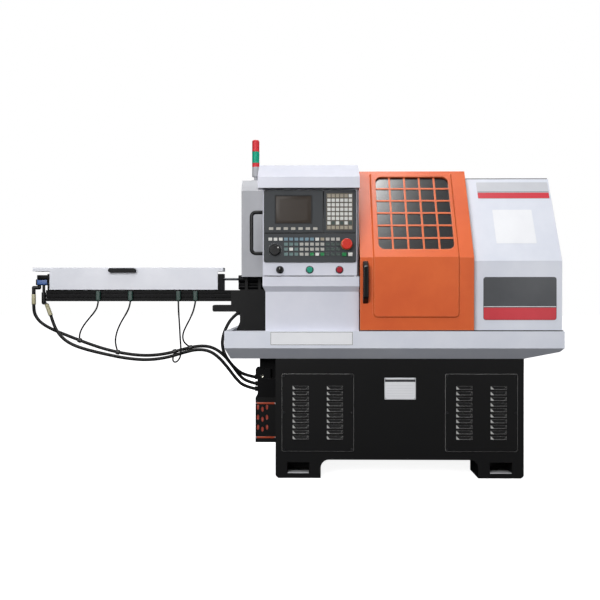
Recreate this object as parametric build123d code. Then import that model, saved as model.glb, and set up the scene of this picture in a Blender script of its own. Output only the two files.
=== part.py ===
from build123d import *
import math
import os

os.makedirs("parts", exist_ok=True)

# Turning lathe on a stand with a bar feeder at its left. Millimetres, X to the right, Y to the rear, Z up.
# The origin is on the floor, in the middle of the four anchor holes.

# Shared
sheet = 3  # folded sheet of the covers
overrun = 10  # how far a cut runs past a face
gap = 0.3  # room round a piece that moves
running = 0.05  # radial room of a shaft in its bearing
lean_deg = 30  # backward lean of the upper front

# Stand
stand_w = 1160
stand_d = 860
stand_h = 560
foot_w = 212
foot_d = 200
foot_h = 86
foot_chamfer = 12
arch_r = 38
pocket_w = 104
pocket_h = 52
pocket_sill = 22
pocket_depth = 150
anchor_r = 9

# Louvred panels
panel_x = 382  # middle of each panel from the middle of the stand
panel_w = 337
panel_h = 363
panel_low = 126
panel_lap = 22
panel_t = 3
panel_corner_r = 8
louvre_w = 74
louvre_h = 15
louvre_out = 8
louvre_end = 12  # slope of each end
louvre_skin = 2
louvre_pitch = 26
louvre_spread = 160
louvre_rows = 10

# Chip tray
tray_left = -813
tray_w = 1561
tray_d = 1000
tray_h = 131
rim_h = 78
lip_w = 60
end_lip_w = 24
left_slope = 22
right_nick_w = 15
right_nick_h = 18

# Bed with its two guideways
bed_left = -560
bed_right = 325
bed_front = -330
bed_back = 235
bed_h = 197
bed_pocket_w = 220
bed_pocket_h = 110
bed_pocket_depth = 70
bed_pocket_r = 25
rail_w = 20
rail_h = 22
rail_front = -290
rail_back = -60
rail_left = -185

# Spindle line
spindle_y = -196
spindle_rise = 245  # spindle axis above the tray rim
spindle_r = 30
spindle_bore_r = 18
spindle_tail_room = 7  # from the housing's left wall to the spindle's end
spindle_flange_r = 52
spindle_flange_t = 25
head_left = -560
head_right = -262
head_r = 95
head_half_w = 105
head_cap_r = 62
head_cap_t = 10
chuck_r = 50
chuck_nose_r = 36
chuck_len = 110
chuck_nose_len = 30
chuck_slot_w = 4
chuck_slot_deep = 45

# Belt drive
motor_y = 140
motor_drop = 86  # motor axis below the spindle axis
motor_r = 76
motor_len = 230
motor_foot_w = 130
motor_foot_t = 10
motor_fin_h = 5
motor_fins = 10
motor_shaft_r = 14
pulley_r = 62
motor_pulley_r = 46
pulley_flange = 8
pulley_flange_t = 4
belt_w = 34
belt_t = 6
pulley_left = -616

# Carriage, cross slide and tools
carriage_left = 40
carriage_w = 180
carriage_t = 24
carriage_margin = 30  # past each rail
cross_rail_w = 18
cross_rail_h = 16
cross_w = 150
cross_d = 270
cross_t = 34
tee_w = 14
tee_depth = 12
tool_count = 3
tool_pitch = 78
tool_block_w = 76
tool_block_d = 46
tool_over = 26  # block above the spindle axis
shank = 16
shank_out = 46
tip_out = 12

# Axis motor
servo_w = 86
servo_len = 120
servo_drop = 80
servo_flange = 12
servo_cap_len = 26

# Control housing
housing_left = -637
housing_w = 445
box_out = 25  # control box in front of the covers
skirt_h = 182  # lower front above the rim
skirt_inset = 12  # left wall of the skirt behind the wall above it
bevel_h = 25
strip_h = 45
opening_h = 403
visor_h = 50
visor_out = 40  # visor in front of the control box
visor_over = 20  # past the left wall
roof_run = 135  # depth of the roof's front slope
roof_rise = 73
wall_hole_r = 62
tail_hole_r = 30
vent_slots = 8
vent_slot_w = 90
vent_slot_h = 8
vent_pitch = 22

# Panel door, pivoted near its right edge
door_side_gap = 8
door_edge_gap = 4
door_depth = 40
pivot_inset = 10
pivot_r = 5
pivot_len = 18
panel_edge_r = 6

# Control unit on the panel door
unit_w = 424
unit_h = 332
unit_t = 8
unit_r = 8
unit_margin = 2  # from the top of the panel door
unit_box_margin = 26
unit_box_depth = 58
unit_groove = 2
screen_w = 173
screen_h = 134
screen_x = 50
screen_y = 23
divider_x = 277
divider_y = 194
key_t = 3
soft_key_w = 20
soft_key_h = 12
soft_keys = 7
soft_pitch = 33.8
soft_x = 33.5
soft_y = 177.5
pad_key = 15
pad_pitch_x = 19.6
pad_pitch_y = 20.8
pad_cols = 6
pad_rows = 8
pad_x = 299
pad_y = 27
row_key_w = 17
row_key_h = 14
row_pitch_x = 23.9
row_pitch_y = 23
row_cols = 14
row_skip = 3
row_count = 4
row_x = 30
row_y = 226
knob_r = 27
knob_t = 20
knob_x = 51
knob_y = 275.5
knob_stem_r = 8
knob_mark = 3
stop_r = 25
stop_t = 16
stop_neck_r = 12
stop_neck = 12
stop_ring_r = 28
stop_ring_t = 3
stop_x = 380
stop_y = 249
cycle_key_w = 20
cycle_key_h = 16
cycle_key_t = 6
cycle_x = 369
cycle_pitch = 28
cycle_y = 296

# Buttons in the white strip of the panel door
button_r = 14
button_t = 11
button_bezel_r = 17
button_bezel_t = 4
button_stem = 20
button_drop = 368  # below the top of the panel door
button_pitch = 137
button_mid = 217  # from the left edge of the panel door
key_bow_w = 22
key_bow_h = 5
key_bow_t = 20

# Panel handle
grip_r = 8.5
panel_grip_len = 190
panel_grip_out = 52
panel_grip_low = 103
panel_grip_bend = 20

# Sliding door
slide_left = -188
slide_w = 523
slide_out = 25  # sliding door in front of the covers
slide_depth = 18
slide_lift = 5  # lower rail thickness
slide_fold_h = 335
slide_rise = 431
emboss = 8
emboss_slope = 7  # width of the raised panel's sloped border
emboss_left = 59
emboss_right = 66
emboss_low = 57
emboss_r = 22
emboss_top = 16
window_w = 350
window_len = 419
window_low = 40
window_cols = 5
window_rows = 6
window_bar = 9
window_corner_r = 30
glazing_t = 4
glazing_lap = 10
pull_w = 26
pull_len = 196
pull_low = 122
pull_inset = 12
pull_out = 36
pull_bar = 13
pull_slope = 26
pull_round = 6
top_flange = 52

# Covers and rails
cover_inset = 30  # covers behind the tray's front
cover_back_inset = 50
enclosure_w = 532
cover_w = 405
cover_fold_h = 325
cover_rise = 409
rail_strip_w = 24
rail_strip_h = 6
glide_len = 60
glide_w = 20
servo_window = 130
access_t = 2  # thin panels that close the covers at the rear and the right
access_inset = 45
access_r = 20

# Hood over the spindle's tail, and the signal light on it
hood_w = 113
hood_front = -300
hood_back = 150
hood_low = 10  # lower edge above the spindle axis
hood_h = 471
hood_slope_h = 55
hood_slope_d = 40
hood_notch_w = 56
hood_notch_h = 34
light_in = 49  # from the hood's right side
light_y = -220
light_foot_r = 24
light_foot_t = 4
light_stem_r = 9
light_stem_h = 23
light_r = 18
light_pole_h = 48
light_ring_h = 19
light_lens_h = 57
light_dome = 8
light_groove = 1.5

# Bar feeder
beam_over = 23  # beam past the trough's left end
beam_right = -763
beam_w = 60
beam_h = 55
beam_drop = 54  # beam top below the spindle axis
beam_slot_w = 10
beam_slot_deep = 7
trough_left = -1702
trough_right = -872
trough_w = 72
trough_wall = 4
trough_floor = 8
trough_h = 80
end_plate_left_t = 13
end_plate_right_t = 27
lid_over = 83  # lid past the trough's left end
lid_w = 90
lid_rise = 57  # lid top above the spindle axis
lid_rim_h = 18
lid_skirt_low = 52  # skirt end below the spindle axis
hinge_r = 3
hinge_barrel_r = 6
hinge_rise = 28
hinge_back = 52
hinge_count = 3
hinge_len = 80
hinge_ear_t = 12
lid_grip_w = 134
lid_grip_h = 22
lid_grip_out = 24
lid_grip_bar = 8
lid_grip_x = -1340
lid_grip_drop = 14
drive_len = 62
drive_w = 44
drive_h = 30
drive_cap_h = 7
push_r = 6
push_in = 12  # push rod's end inside the trough
push_right = -775
pusher_r = 17
pusher_len = 30
guide_left = -773
guide_right = -645
guide_r = 20
guide_bore_r = 14
clamp_r = 13
clamp_drop = 38
guide_web = 12

# Feeder post and arm
post_left = -763
post_right = -636
post_half_d = 50
post_wall = 6
saddle_t = 14
saddle_half_w = 30
saddle_over = 26
saddle_inset = 24
gusset_w = 24
gusset_h = 170
arm_left = -898
arm_h = 33
arm_drop = 18
arm_t = 14
arm_plate_w = 44

# Sensors on the beam
sensor_1_x = -1463
sensor_2_x = -1304
sensor_3_x = -1067
sensor_4_x = -983
sensor_w = 22
sensor_t = 16
sensor_h = 44
sensor_boss_r = 6
sensor_boss_h = 10

# Air fittings at the feeder's left end
elbow_r = 9
elbow_out = 18  # elbow past the drive's left end
elbow_y = -196
elbow_in = 20
elbow_drop = 12
ferrule_r = 9.5
ferrule_len = 52
tee_in = 35  # tee inside the drive's left end
tee_r = 7
tee_body_r = 11
tee_len = 35
tee_body_len = 50
ferrule_b_end = (-1706, -208, 756)
ferrule_b_start = (-1728, -204, 812)

# Side boxes on the stand
side_out = 101
side_front = -330
side_back = -170
vent_low = 150
vent_h = 215
vent_t = 5
slot_w = 12
slot_h = 28
slot_cols = 3
slot_rows = 3
slot_pitch_x = 21.5
slot_pitch_z = 48
slot_stagger = 10
slot_left = 17  # middle of the pattern from the box's middle
slot_up = 8
valve_h = 90
valve_in = 10
plug_h = 46
plug_w = 72
riser_w = 83
riser_d = 46
gland_r = 12
gland_len = 19
gland_places = ((-190, 418), (-216, 395), (-226, 454))  # Y and Z of each hose end
post_gland = (-756, -226, 784)  # where the post's hose comes out

# Inside the stand and the housing
tank_left = 90
tank_w = 410
tank_d = 560
tank_h = 230
tank_wall = 4
pump_r = 55
pump_h = 130
pump_inset = 120
module_t = 110
module_w = 90
module_h = 260
module_pitch = 104
module_count = 3
module_low = 330
module_left = -600
module_fin = 6
module_fins = 7

# Hoses and cables
hose_r = 8
cable_r = 4
tie_r = 12
tie_len = 16
hose_routes = {
    "air_hose_left": [
        (-1795, -196, 810), (-1795, -196, 778), (-1783, -195, 747), (-1757, -194, 717), (-1704, -193, 686),
        (-1608, -192, 648), (-1526, -190, 616), (-1428, -190, 584), (-1326, -190, 563), (-1228, -190, 555),
        (-1134, -190, 565), (-1050, -190, 588), (-976, -190, 605), (-912, -190, 602), (-857, -190, 570),
        (-812, -190, 518), (-776, -190, 466), (-740, -190, 430), (-690, -190, 418)],
    "air_hose_right": [
        (-1706, -208, 756), (-1693, -209, 716), (-1674, -210, 676), (-1642, -211, 639), (-1598, -212, 611),
        (-1535, -213, 589), (-1435, -214, 565), (-1332, -214, 544), (-1226, -214, 535), (-1129, -214, 547),
        (-1045, -214, 573), (-980, -214, 589), (-921, -214, 584), (-872, -214, 553), (-827, -214, 501),
        (-786, -215, 446), (-746, -216, 407), (-690, -216, 395)],
    "air_hose_post": [
        (-777, -226, 766), (-806, -227, 742), (-828, -230, 706), (-845, -233, 664), (-852, -236, 618),
        (-842, -238, 573), (-819, -236, 533), (-786, -231, 495), (-744, -227, 464), (-690, -226, 454)],
    "sensor_cable_1": [
        (-1463, -235, 826), (-1466, -235, 800), (-1484, -232, 771), (-1512, -224, 741), (-1540, -214, 709),
        (-1560, -204, 677), (-1568, -195, 650), (-1567, -191, 632)],
    "sensor_cable_2": [
        (-1304, -235, 826), (-1308, -235, 800), (-1325, -231, 766), (-1352, -222, 726), (-1374, -210, 684),
        (-1387, -199, 642), (-1387, -192, 606), (-1377, -190, 574)],
    "sensor_cable_3": [
        (-1067, -235, 826), (-1066, -236, 776), (-1061, -238, 716), (-1058, -240, 657), (-1054, -241, 604),
        (-1054, -240, 560), (-1068, -235, 533), (-1090, -218, 523), (-1104, -199, 540), (-1092, -191, 577)],
    "sensor_cable_4": [
        (-983, -235, 826), (-988, -235, 792), (-1008, -230, 744), (-1033, -220, 701), (-1050, -207, 664),
        (-1050, -197, 632), (-1035, -191, 611), (-1013, -190, 597)],
}
corner_share = 0.45  # part of a run that the bend at one end takes
tie_runs = ((5, 6), (7, 8), (10, 11), (11, 12))  # runs of the left hose that carry a tie

# Places worked out from the sizes above
rim_top = stand_h + tray_h
rim_low = rim_top - rim_h
tray_floor = stand_h + sheet
tray_right = tray_left + tray_w
tray_front = -tray_d / 2
tray_back = tray_d / 2
cover_front = tray_front + cover_inset
cover_back = tray_back - cover_back_inset
box_front = cover_front - box_out
slide_front = cover_front - slide_out
visor_front = box_front - visor_out
roof_y = visor_front + roof_run
bed_top = tray_floor + bed_h
spindle_z = rim_top + spindle_rise
motor_z = spindle_z - motor_drop
spindle_left = housing_left + spindle_tail_room
housing_right = housing_left + housing_w
cover_left = housing_right + enclosure_w
cover_right = cover_left + cover_w
beam_left = trough_left - beam_over
lid_left = trough_left - lid_over
lid_right = trough_right + end_plate_right_t
drive_left = trough_left - end_plate_left_t - drive_len
push_left = trough_left + push_in
elbow_x = drive_left - elbow_out
tee_x = drive_left + tee_in
bevel_low = rim_top + skirt_h
bevel_top = bevel_low + bevel_h
shelf_z = bevel_top + strip_h
visor_low = shelf_z + opening_h
visor_top = visor_low + visor_h
roof_top = visor_top + roof_rise
panel_left = housing_left
panel_right = housing_right - door_side_gap
panel_low_z = shelf_z + door_edge_gap
panel_top_z = visor_low - door_edge_gap
pivot_x = panel_right - pivot_inset
pivot_y = box_front + pivot_inset
unit_left = (panel_left + panel_right - unit_w) / 2
unit_top = panel_top_z - unit_margin
unit_front = box_front - unit_t
slide_right = slide_left + slide_w
slide_low = rim_top + slide_lift
slide_fold = slide_low + slide_fold_h
slide_top = slide_fold + slide_rise
lean = math.radians(lean_deg)
cover_fold = rim_top + cover_fold_h
cover_top = cover_fold + cover_rise
cover_top_y = cover_front + cover_rise * math.tan(lean)
slide_top_y = slide_front + slide_rise * math.tan(lean)
slide_len = slide_rise / math.cos(lean)
hood_left = housing_left - hood_w
hood_bottom = spindle_z + hood_low
hood_top = hood_bottom + hood_h
light_x = housing_left - light_in
beam_top = spindle_z - beam_drop
lid_top = spindle_z + lid_rise
stand_left = -stand_w / 2
valve_low = vent_low + vent_h
carriage_low = bed_top + gap + sheet
carriage_top = bed_top + rail_h + carriage_t
cross_top = carriage_top + cross_t
cross_left = carriage_left + (carriage_w - cross_w) / 2
beam_front = spindle_y - beam_w / 2
sensor_xs = (sensor_1_x, sensor_2_x, sensor_3_x, sensor_4_x)


def block(x0, x1, y0, y1, z0, z1):
    middle = Pos((x0 + x1) / 2, (y0 + y1) / 2, (z0 + z1) / 2)
    return middle * Box(abs(x1 - x0), abs(y1 - y0), abs(z1 - z0))


def rod_x(x0, x1, y, z, r):
    return Pos((x0 + x1) / 2, y, z) * Rot(0, 90, 0) * Cylinder(r, x1 - x0)


def rod_y(x, y0, y1, z, r):
    return Pos(x, (y0 + y1) / 2, z) * Rot(90, 0, 0) * Cylinder(r, y1 - y0)


def rod_z(x, y, z0, z1, r):
    return Pos(x, y, (z0 + z1) / 2) * Cylinder(r, z1 - z0)


# Outline in Y and Z, drawn out along X
def side_profile(points, x0, x1):
    return extrude(Plane.YZ.offset(x0) * Polygon(*points, align=None), x1 - x0, dir=(1, 0, 0))


# Outline in X and Z, drawn out along Y
def front_profile(points, y0, y1):
    return extrude(Plane.XZ.offset(-y1) * Polygon(*points, align=None), y1 - y0, dir=(0, -1, 0))


# Upright plate with round corners
def front_plate(x0, x1, z0, z1, y0, y1, r):
    face = Pos((x0 + x1) / 2, (z0 + z1) / 2) * RectangleRounded(x1 - x0, z1 - z0, r)
    return extrude(Plane.XZ.offset(-y1) * face, y1 - y0)


# Layer of the folded front: upright up to the fold, then leaning back, between two depths behind its face
def folded_layer(front, low, fold, top, depth0, depth1, x0, x1):
    rise = top - fold
    outline = []
    for depth in (depth0, depth1):
        side = [
            (front + depth, low),
            (front + depth, fold - depth * math.tan(lean / 2)),
            (front + rise * math.tan(lean) + depth / math.cos(lean), top)]
        outline += side if depth == depth0 else side[::-1]
    return side_profile(outline, x0, x1)


def make_stand():
    half_w, half_d = stand_w / 2, stand_d / 2
    body = block(-half_w, half_w, -half_d, half_d, 0, stand_h)
    body = chamfer(body.edges().filter_by(Axis.Y).group_by(Axis.Z)[0], foot_chamfer)
    arch = block(-half_w + foot_w, half_w - foot_w, -half_d - overrun, half_d + overrun, -overrun, foot_h)
    arch = fillet(arch.edges().filter_by(Axis.Y).group_by(Axis.Z)[-1], arch_r)
    side_arch = block(-half_w - overrun, half_w + overrun, foot_d - half_d, half_d - foot_d, -overrun, foot_h)
    room = block(
        sheet - half_w, half_w - sheet, sheet - half_d, half_d - sheet, foot_h + sheet, stand_h - sheet)
    body = body - arch - side_arch - room
    anchor_x = half_w - foot_w / 2
    anchor_y = half_d - foot_d / 2
    for x in (-anchor_x, anchor_x):
        for way in (-1, 1):
            body -= block(
                x - pocket_w / 2, x + pocket_w / 2, way * (half_d + overrun), way * (half_d - pocket_depth),
                pocket_sill, pocket_sill + pocket_h)
            body -= rod_z(x, way * anchor_y, -overrun, pocket_sill + overrun, anchor_r)
    half = panel_w / 2 - panel_lap
    for x in (-panel_x, panel_x):
        for way in (-1, 1):
            body -= block(
                x - half, x + half, way * (half_d + overrun), way * (half_d - sheet - overrun),
                panel_low + panel_lap, panel_low + panel_h - panel_lap)
    return body


# Hood pressed out of a sheet whose face is at the origin, and the mouth under the hood
def louvre():
    back = panel_t + overrun
    hood = [(0, 0), (0, louvre_h), (-louvre_out, louvre_skin), (-louvre_out, 0)]
    mouth = [
        (back, 0), (back, louvre_h - louvre_skin), (0, louvre_h - 2 * louvre_skin),
        (louvre_skin - louvre_out, 0)]
    shapes = []
    for half, outline in ((louvre_w / 2, hood), (louvre_w / 2 - louvre_skin, mouth)):
        plan = [
            (-half, back), (half, back), (half, 0), (half - louvre_end, -louvre_out),
            (louvre_end - half, -louvre_out), (-half, 0)]
        sloped = extrude(Polygon(*plan, align=None), louvre_h, dir=(0, 0, 1))
        shapes.append(side_profile(outline, -half, half) & sloped)
    return shapes


def make_louvre_panels():
    face = -stand_d / 2 - panel_t
    middle = panel_low + (panel_h - louvre_h) / 2
    hood, mouth = louvre()
    places = [
        Pos(column * louvre_spread / 2, face, middle + (row - (louvre_rows - 1) / 2) * louvre_pitch)
        for column in (-1, 1) for row in range(louvre_rows)]
    plain = front_plate(
        -panel_w / 2, panel_w / 2, panel_low, panel_low + panel_h, face, -stand_d / 2, panel_corner_r)
    louvred = plain + [place * hood for place in places] - [place * mouth for place in places]
    sides = [Pos(-panel_x, 0, 0), Pos(panel_x, 0, 0)]
    front = [side * louvred for side in sides]
    rear = [Rot(0, 0, 180) * side * plain for side in sides]
    return front[0] + front[1:] + rear


def tray_solid(inset, top):
    left, right = tray_left + inset, tray_right - inset
    floor = stand_h + inset
    along = front_profile(
        [(left, top), (left, rim_low), (left + left_slope, floor), (stand_w / 2, floor),
         (right - right_nick_w, rim_low - right_nick_h), (right, rim_low), (right, top)],
        tray_front + inset, tray_back - inset)
    across = side_profile(
        [(tray_front + inset, top), (tray_front + inset, rim_low), (-stand_d / 2, floor),
         (stand_d / 2, floor), (tray_back - inset, rim_low), (tray_back - inset, top)], left, right)
    return along & across


def make_chip_tray():
    mouth = block(
        tray_left + end_lip_w, tray_right - end_lip_w, tray_front + lip_w, tray_back - lip_w,
        rim_top - sheet - overrun, rim_top + overrun)
    return tray_solid(0, rim_top) - tray_solid(sheet, rim_top - sheet) - mouth


def make_bed():
    body = block(bed_left, bed_right, bed_front, bed_back, tray_floor, bed_top)
    body = chamfer(body.edges().filter_by(Axis.X).group_by(Axis.Z)[-1], foot_chamfer)
    middle = (tray_floor + bed_top) / 2
    count = int((bed_right - bed_left) // (bed_pocket_w + bed_pocket_r * 2))
    pitch = (bed_right - bed_left) / count
    for step in range(count):
        x = bed_left + pitch * (step + 1 / 2)
        body -= front_plate(
            x - bed_pocket_w / 2, x + bed_pocket_w / 2, middle - bed_pocket_h / 2, middle + bed_pocket_h / 2,
            bed_front - overrun, bed_front + bed_pocket_depth, bed_pocket_r)
    for y in (rail_front, rail_back):
        body += block(rail_left, bed_right, y - rail_w / 2, y + rail_w / 2, bed_top, bed_top + rail_h)
    return body


def make_headstock():
    base = block(head_left, head_right, spindle_y - head_half_w, spindle_y + head_half_w, bed_top, spindle_z)
    barrel = rod_x(head_left, head_right, spindle_y, spindle_z, head_r)
    cap = rod_x(head_right, head_right + head_cap_t, spindle_y, spindle_z, head_cap_r)
    bore = rod_x(
        head_left - overrun, head_right + head_cap_t + overrun, spindle_y, spindle_z, spindle_r + running)
    return base + barrel + cap - bore


def make_spindle():
    nose = head_right + head_cap_t + gap
    shaft = rod_x(spindle_left, nose, spindle_y, spindle_z, spindle_r)
    flange = rod_x(nose, nose + spindle_flange_t, spindle_y, spindle_z, spindle_flange_r)
    bore = rod_x(
        spindle_left - overrun, nose + spindle_flange_t + overrun, spindle_y, spindle_z, spindle_bore_r)
    return shaft + flange - bore


def make_collet_chuck():
    back = head_right + head_cap_t + gap + spindle_flange_t
    front = back + chuck_len
    body = rod_x(back, front - chuck_nose_len, spindle_y, spindle_z, chuck_r)
    nose = Pos(front - chuck_nose_len / 2, spindle_y, spindle_z) * Rot(0, 90, 0) * Cone(
        chuck_r, chuck_nose_r, chuck_nose_len)
    bore = rod_x(back - overrun, front + overrun, spindle_y, spindle_z, spindle_bore_r)
    body = body + nose - bore
    for turn in range(3):
        slot = block(
            front - chuck_slot_deep, front + overrun, -chuck_slot_w / 2, chuck_slot_w / 2, 0, chuck_r)
        body -= Pos(0, spindle_y, spindle_z) * Rot(turn * 120, 0, 0) * slot
    return body


def pulley(y, z, r, bore_r):
    left = pulley_left
    right = pulley_left + belt_w + 2 * pulley_flange_t + 2 * gap
    body = rod_x(left, right, y, z, r)
    body += rod_x(left, left + pulley_flange_t, y, z, r + pulley_flange)
    body += rod_x(right - pulley_flange_t, right, y, z, r + pulley_flange)
    return body - rod_x(left - overrun, right + overrun, y, z, bore_r)


def make_motor_pulley():
    right = head_left - gap
    shaft = rod_x(pulley_left - gap, right, motor_y, motor_z, motor_shaft_r)
    return pulley(motor_y, motor_z, motor_pulley_r, motor_shaft_r / 2) + shaft


def belt_outline(extra):
    circles = [
        Pos(spindle_y, spindle_z) * Circle(pulley_r + extra),
        Pos(motor_y, motor_z) * Circle(motor_pulley_r + extra)]
    return make_hull(circles[0].edges() + circles[1].edges())


def make_drive_belt():
    left = pulley_left + pulley_flange_t + gap
    ring = belt_outline(gap + belt_t) - belt_outline(gap)
    return extrude(Plane.YZ.offset(left) * ring, belt_w)


def make_main_motor():
    body = rod_x(head_left, head_left + motor_len, motor_y, motor_z, motor_r)
    for step in range(motor_fins):
        angle = 180 * step / (motor_fins - 1)
        fin = block(
            head_left + motor_len / 10, head_left + motor_len * 9 / 10, motor_r - motor_fin_h,
            motor_r + motor_fin_h, -motor_fin_h / 3, motor_fin_h / 3)
        body += Pos(0, motor_y, motor_z) * Rot(angle, 0, 0) * fin
    foot = block(
        head_left + motor_len / 8, head_left + motor_len * 7 / 8, motor_y - motor_foot_w / 2,
        motor_y + motor_foot_w / 2, bed_top, bed_top + motor_foot_t)
    web = block(
        head_left + motor_len / 6, head_left + motor_len * 5 / 6, motor_y - motor_foot_w / 3,
        motor_y + motor_foot_w / 3, bed_top, motor_z)
    return body + foot + web


def make_carriage():
    back = rail_back + carriage_margin
    front = rail_front - carriage_margin
    right = carriage_left + carriage_w
    body = block(carriage_left, right, front, back, carriage_low, carriage_top)
    for y in (rail_front, rail_back):
        body -= block(
            carriage_left - overrun, right + overrun, y - rail_w / 2 - gap, y + rail_w / 2 + gap,
            carriage_low - overrun, bed_top + rail_h + gap)
    for x in (cross_left + cross_rail_w, cross_left + cross_w - cross_rail_w):
        body += block(
            x - cross_rail_w / 2, x + cross_rail_w / 2, front, back, carriage_top,
            carriage_top + cross_rail_h)
    return body


def make_cross_slide():
    right = cross_left + cross_w
    front, back = spindle_y - cross_d / 2, spindle_y + cross_d / 2
    body = block(cross_left, right, front, back, carriage_top + gap, cross_top)
    for x in (cross_left + cross_rail_w, right - cross_rail_w):
        body -= block(
            x - cross_rail_w / 2 - gap, x + cross_rail_w / 2 + gap, front - overrun, back + overrun,
            carriage_top - overrun, carriage_top + cross_rail_h + gap)
    for share in (1 / 3, 2 / 3):
        x = cross_left + cross_w * share
        body -= block(
            x - tee_w / 2, x + tee_w / 2, front - overrun, back + overrun, cross_top - tee_depth,
            cross_top + overrun)
    return body


def make_gang_tools():
    tools = []
    mid = cross_left + cross_w / 2
    left = mid - tool_block_w / 2
    for step in range(tool_count):
        y = spindle_y + (step - (tool_count - 1) / 2) * tool_pitch
        holder = block(
            left, left + tool_block_w, y - tool_block_d / 2, y + tool_block_d / 2, cross_top,
            spindle_z + tool_over)
        holder = chamfer(holder.edges().filter_by(Axis.Y).group_by(Axis.Z)[-1], tip_out)
        bit = block(
            left - shank_out, left, y - shank / 2, y + shank / 2, spindle_z - shank, spindle_z)
        bit = chamfer(bit.edges().filter_by(Axis.Z).group_by(Axis.X)[0].sort_by(Axis.Y)[0], tip_out)
        tools.append(holder + bit)
    return tools[0] + tools[1:]


def make_servo():
    y = (rail_front + rail_back) / 2
    z = bed_top - servo_drop
    half = servo_w / 2
    flange = block(bed_right, bed_right + servo_flange, y - half, y + half, z - half, z + half)
    inner = half - servo_flange / 3
    body = block(
        bed_right + servo_flange, bed_right + servo_len, y - inner, y + inner, z - inner, z + inner)
    body = fillet(body.edges().filter_by(Axis.X), servo_flange)
    cap = rod_x(bed_right + servo_len, bed_right + servo_len + servo_cap_len, y, z, inner * 3 / 4)
    return flange + body + cap


# Access panel on the rear wall of a cover
def rear_panel(left, right, top):
    return front_plate(
        left + access_inset, right - access_inset, rim_top + access_inset, top - access_inset,
        cover_back, cover_back + access_t, access_r)


# Housing seen from the front, with a narrower skirt, and its walls set in by a thickness
def housing_front(wall, low):
    left, right = housing_left + wall, housing_right - wall
    top = roof_top + overrun
    return front_profile(
        [(left + skirt_inset, low), (left + skirt_inset, bevel_low), (left, bevel_top), (left, top),
         (right, top), (right, low)], visor_front - overrun, cover_back + overrun)


def make_control_housing():
    outer = [
        (cover_front, rim_top), (cover_front, bevel_low), (box_front, bevel_top), (box_front, visor_low),
        (visor_front, visor_low), (visor_front, visor_top), (roof_y, roof_top), (cover_back, roof_top),
        (cover_back, rim_top)]
    lowest = rim_top - overrun
    inner = [
        (cover_front + sheet, lowest), (cover_front + sheet, bevel_low), (box_front + sheet, bevel_top),
        (box_front + sheet, shelf_z - sheet), (box_front + door_depth + 2 * sheet, shelf_z - sheet),
        (box_front + door_depth + 2 * sheet, visor_low + sheet), (visor_front + sheet, visor_low + sheet),
        (visor_front + sheet, visor_top - sheet), (roof_y, roof_top - sheet),
        (cover_back - sheet, roof_top - sheet), (cover_back - sheet, lowest)]
    body = side_profile(outer, housing_left, housing_right) & housing_front(0, rim_top)
    room = side_profile(inner, housing_left, housing_right) & housing_front(sheet, lowest)
    visor = [
        (visor_front, visor_low), (visor_front, visor_top), (roof_y, roof_top), (roof_y, roof_top - visor_h),
        (box_front + door_depth, visor_low)]
    body += side_profile(visor, housing_left - visor_over, housing_left)
    body -= room
    body -= block(
        housing_left - overrun, housing_right + overrun, box_front - overrun, box_front + door_depth + sheet,
        shelf_z, visor_low)
    body -= block(
        housing_left + sheet, housing_right - sheet, box_front, box_front + door_depth + 2 * sheet + overrun,
        shelf_z, visor_low)
    body -= rod_x(housing_right - sheet - overrun, housing_right + overrun, spindle_y, spindle_z, wall_hole_r)
    body -= rod_x(housing_left - overrun, housing_left + sheet + overrun, spindle_y, spindle_z, tail_hole_r)
    body -= block(
        housing_right - sheet - overrun, housing_right + overrun, bed_front - overrun, bed_back + overrun,
        lowest, bed_top + overrun)
    mid = (housing_left + housing_right) / 2
    for row in range(vent_slots):
        z = roof_top - (row + 3) * vent_pitch
        body -= block(
            mid - vent_slot_w, mid + vent_slot_w, cover_back - sheet - overrun, cover_back + overrun,
            z, z + vent_slot_h)
    body += rear_panel(housing_left, housing_right, roof_top - (vent_slots + 3) * vent_pitch)
    body += rod_z(pivot_x, pivot_y, shelf_z - sheet, shelf_z + pivot_len, pivot_r)
    body += rod_z(pivot_x, pivot_y, visor_low - pivot_len, visor_low + sheet, pivot_r)
    return body


def unit_place(x, y):
    return unit_left + x, unit_top - y


def make_panel_door():
    back = box_front + door_depth
    body = block(panel_left, panel_right, box_front, back, panel_low_z, panel_top_z)
    body = fillet(body.edges().filter_by(Axis.Z).group_by(Axis.Y)[0], panel_edge_r)
    body -= block(
        panel_left + sheet, panel_right - sheet, box_front + sheet, back + overrun,
        panel_low_z + sheet, panel_top_z - sheet)
    body -= block(
        unit_left + unit_box_margin - gap, unit_left + unit_w - unit_box_margin + gap, box_front - overrun,
        back, unit_top - unit_h + unit_box_margin - gap, unit_top - unit_box_margin + gap)
    body -= rod_z(pivot_x, pivot_y, panel_low_z - overrun, panel_top_z + overrun, pivot_r + running)
    for step in (-1, 0, 1):
        x = panel_left + button_mid + step * button_pitch
        z = panel_top_z - button_drop
        body += rod_y(x, box_front - button_bezel_t, box_front, z, button_bezel_r)
        body -= rod_y(x, box_front - overrun, back, z, button_r + gap)
    return body


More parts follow.
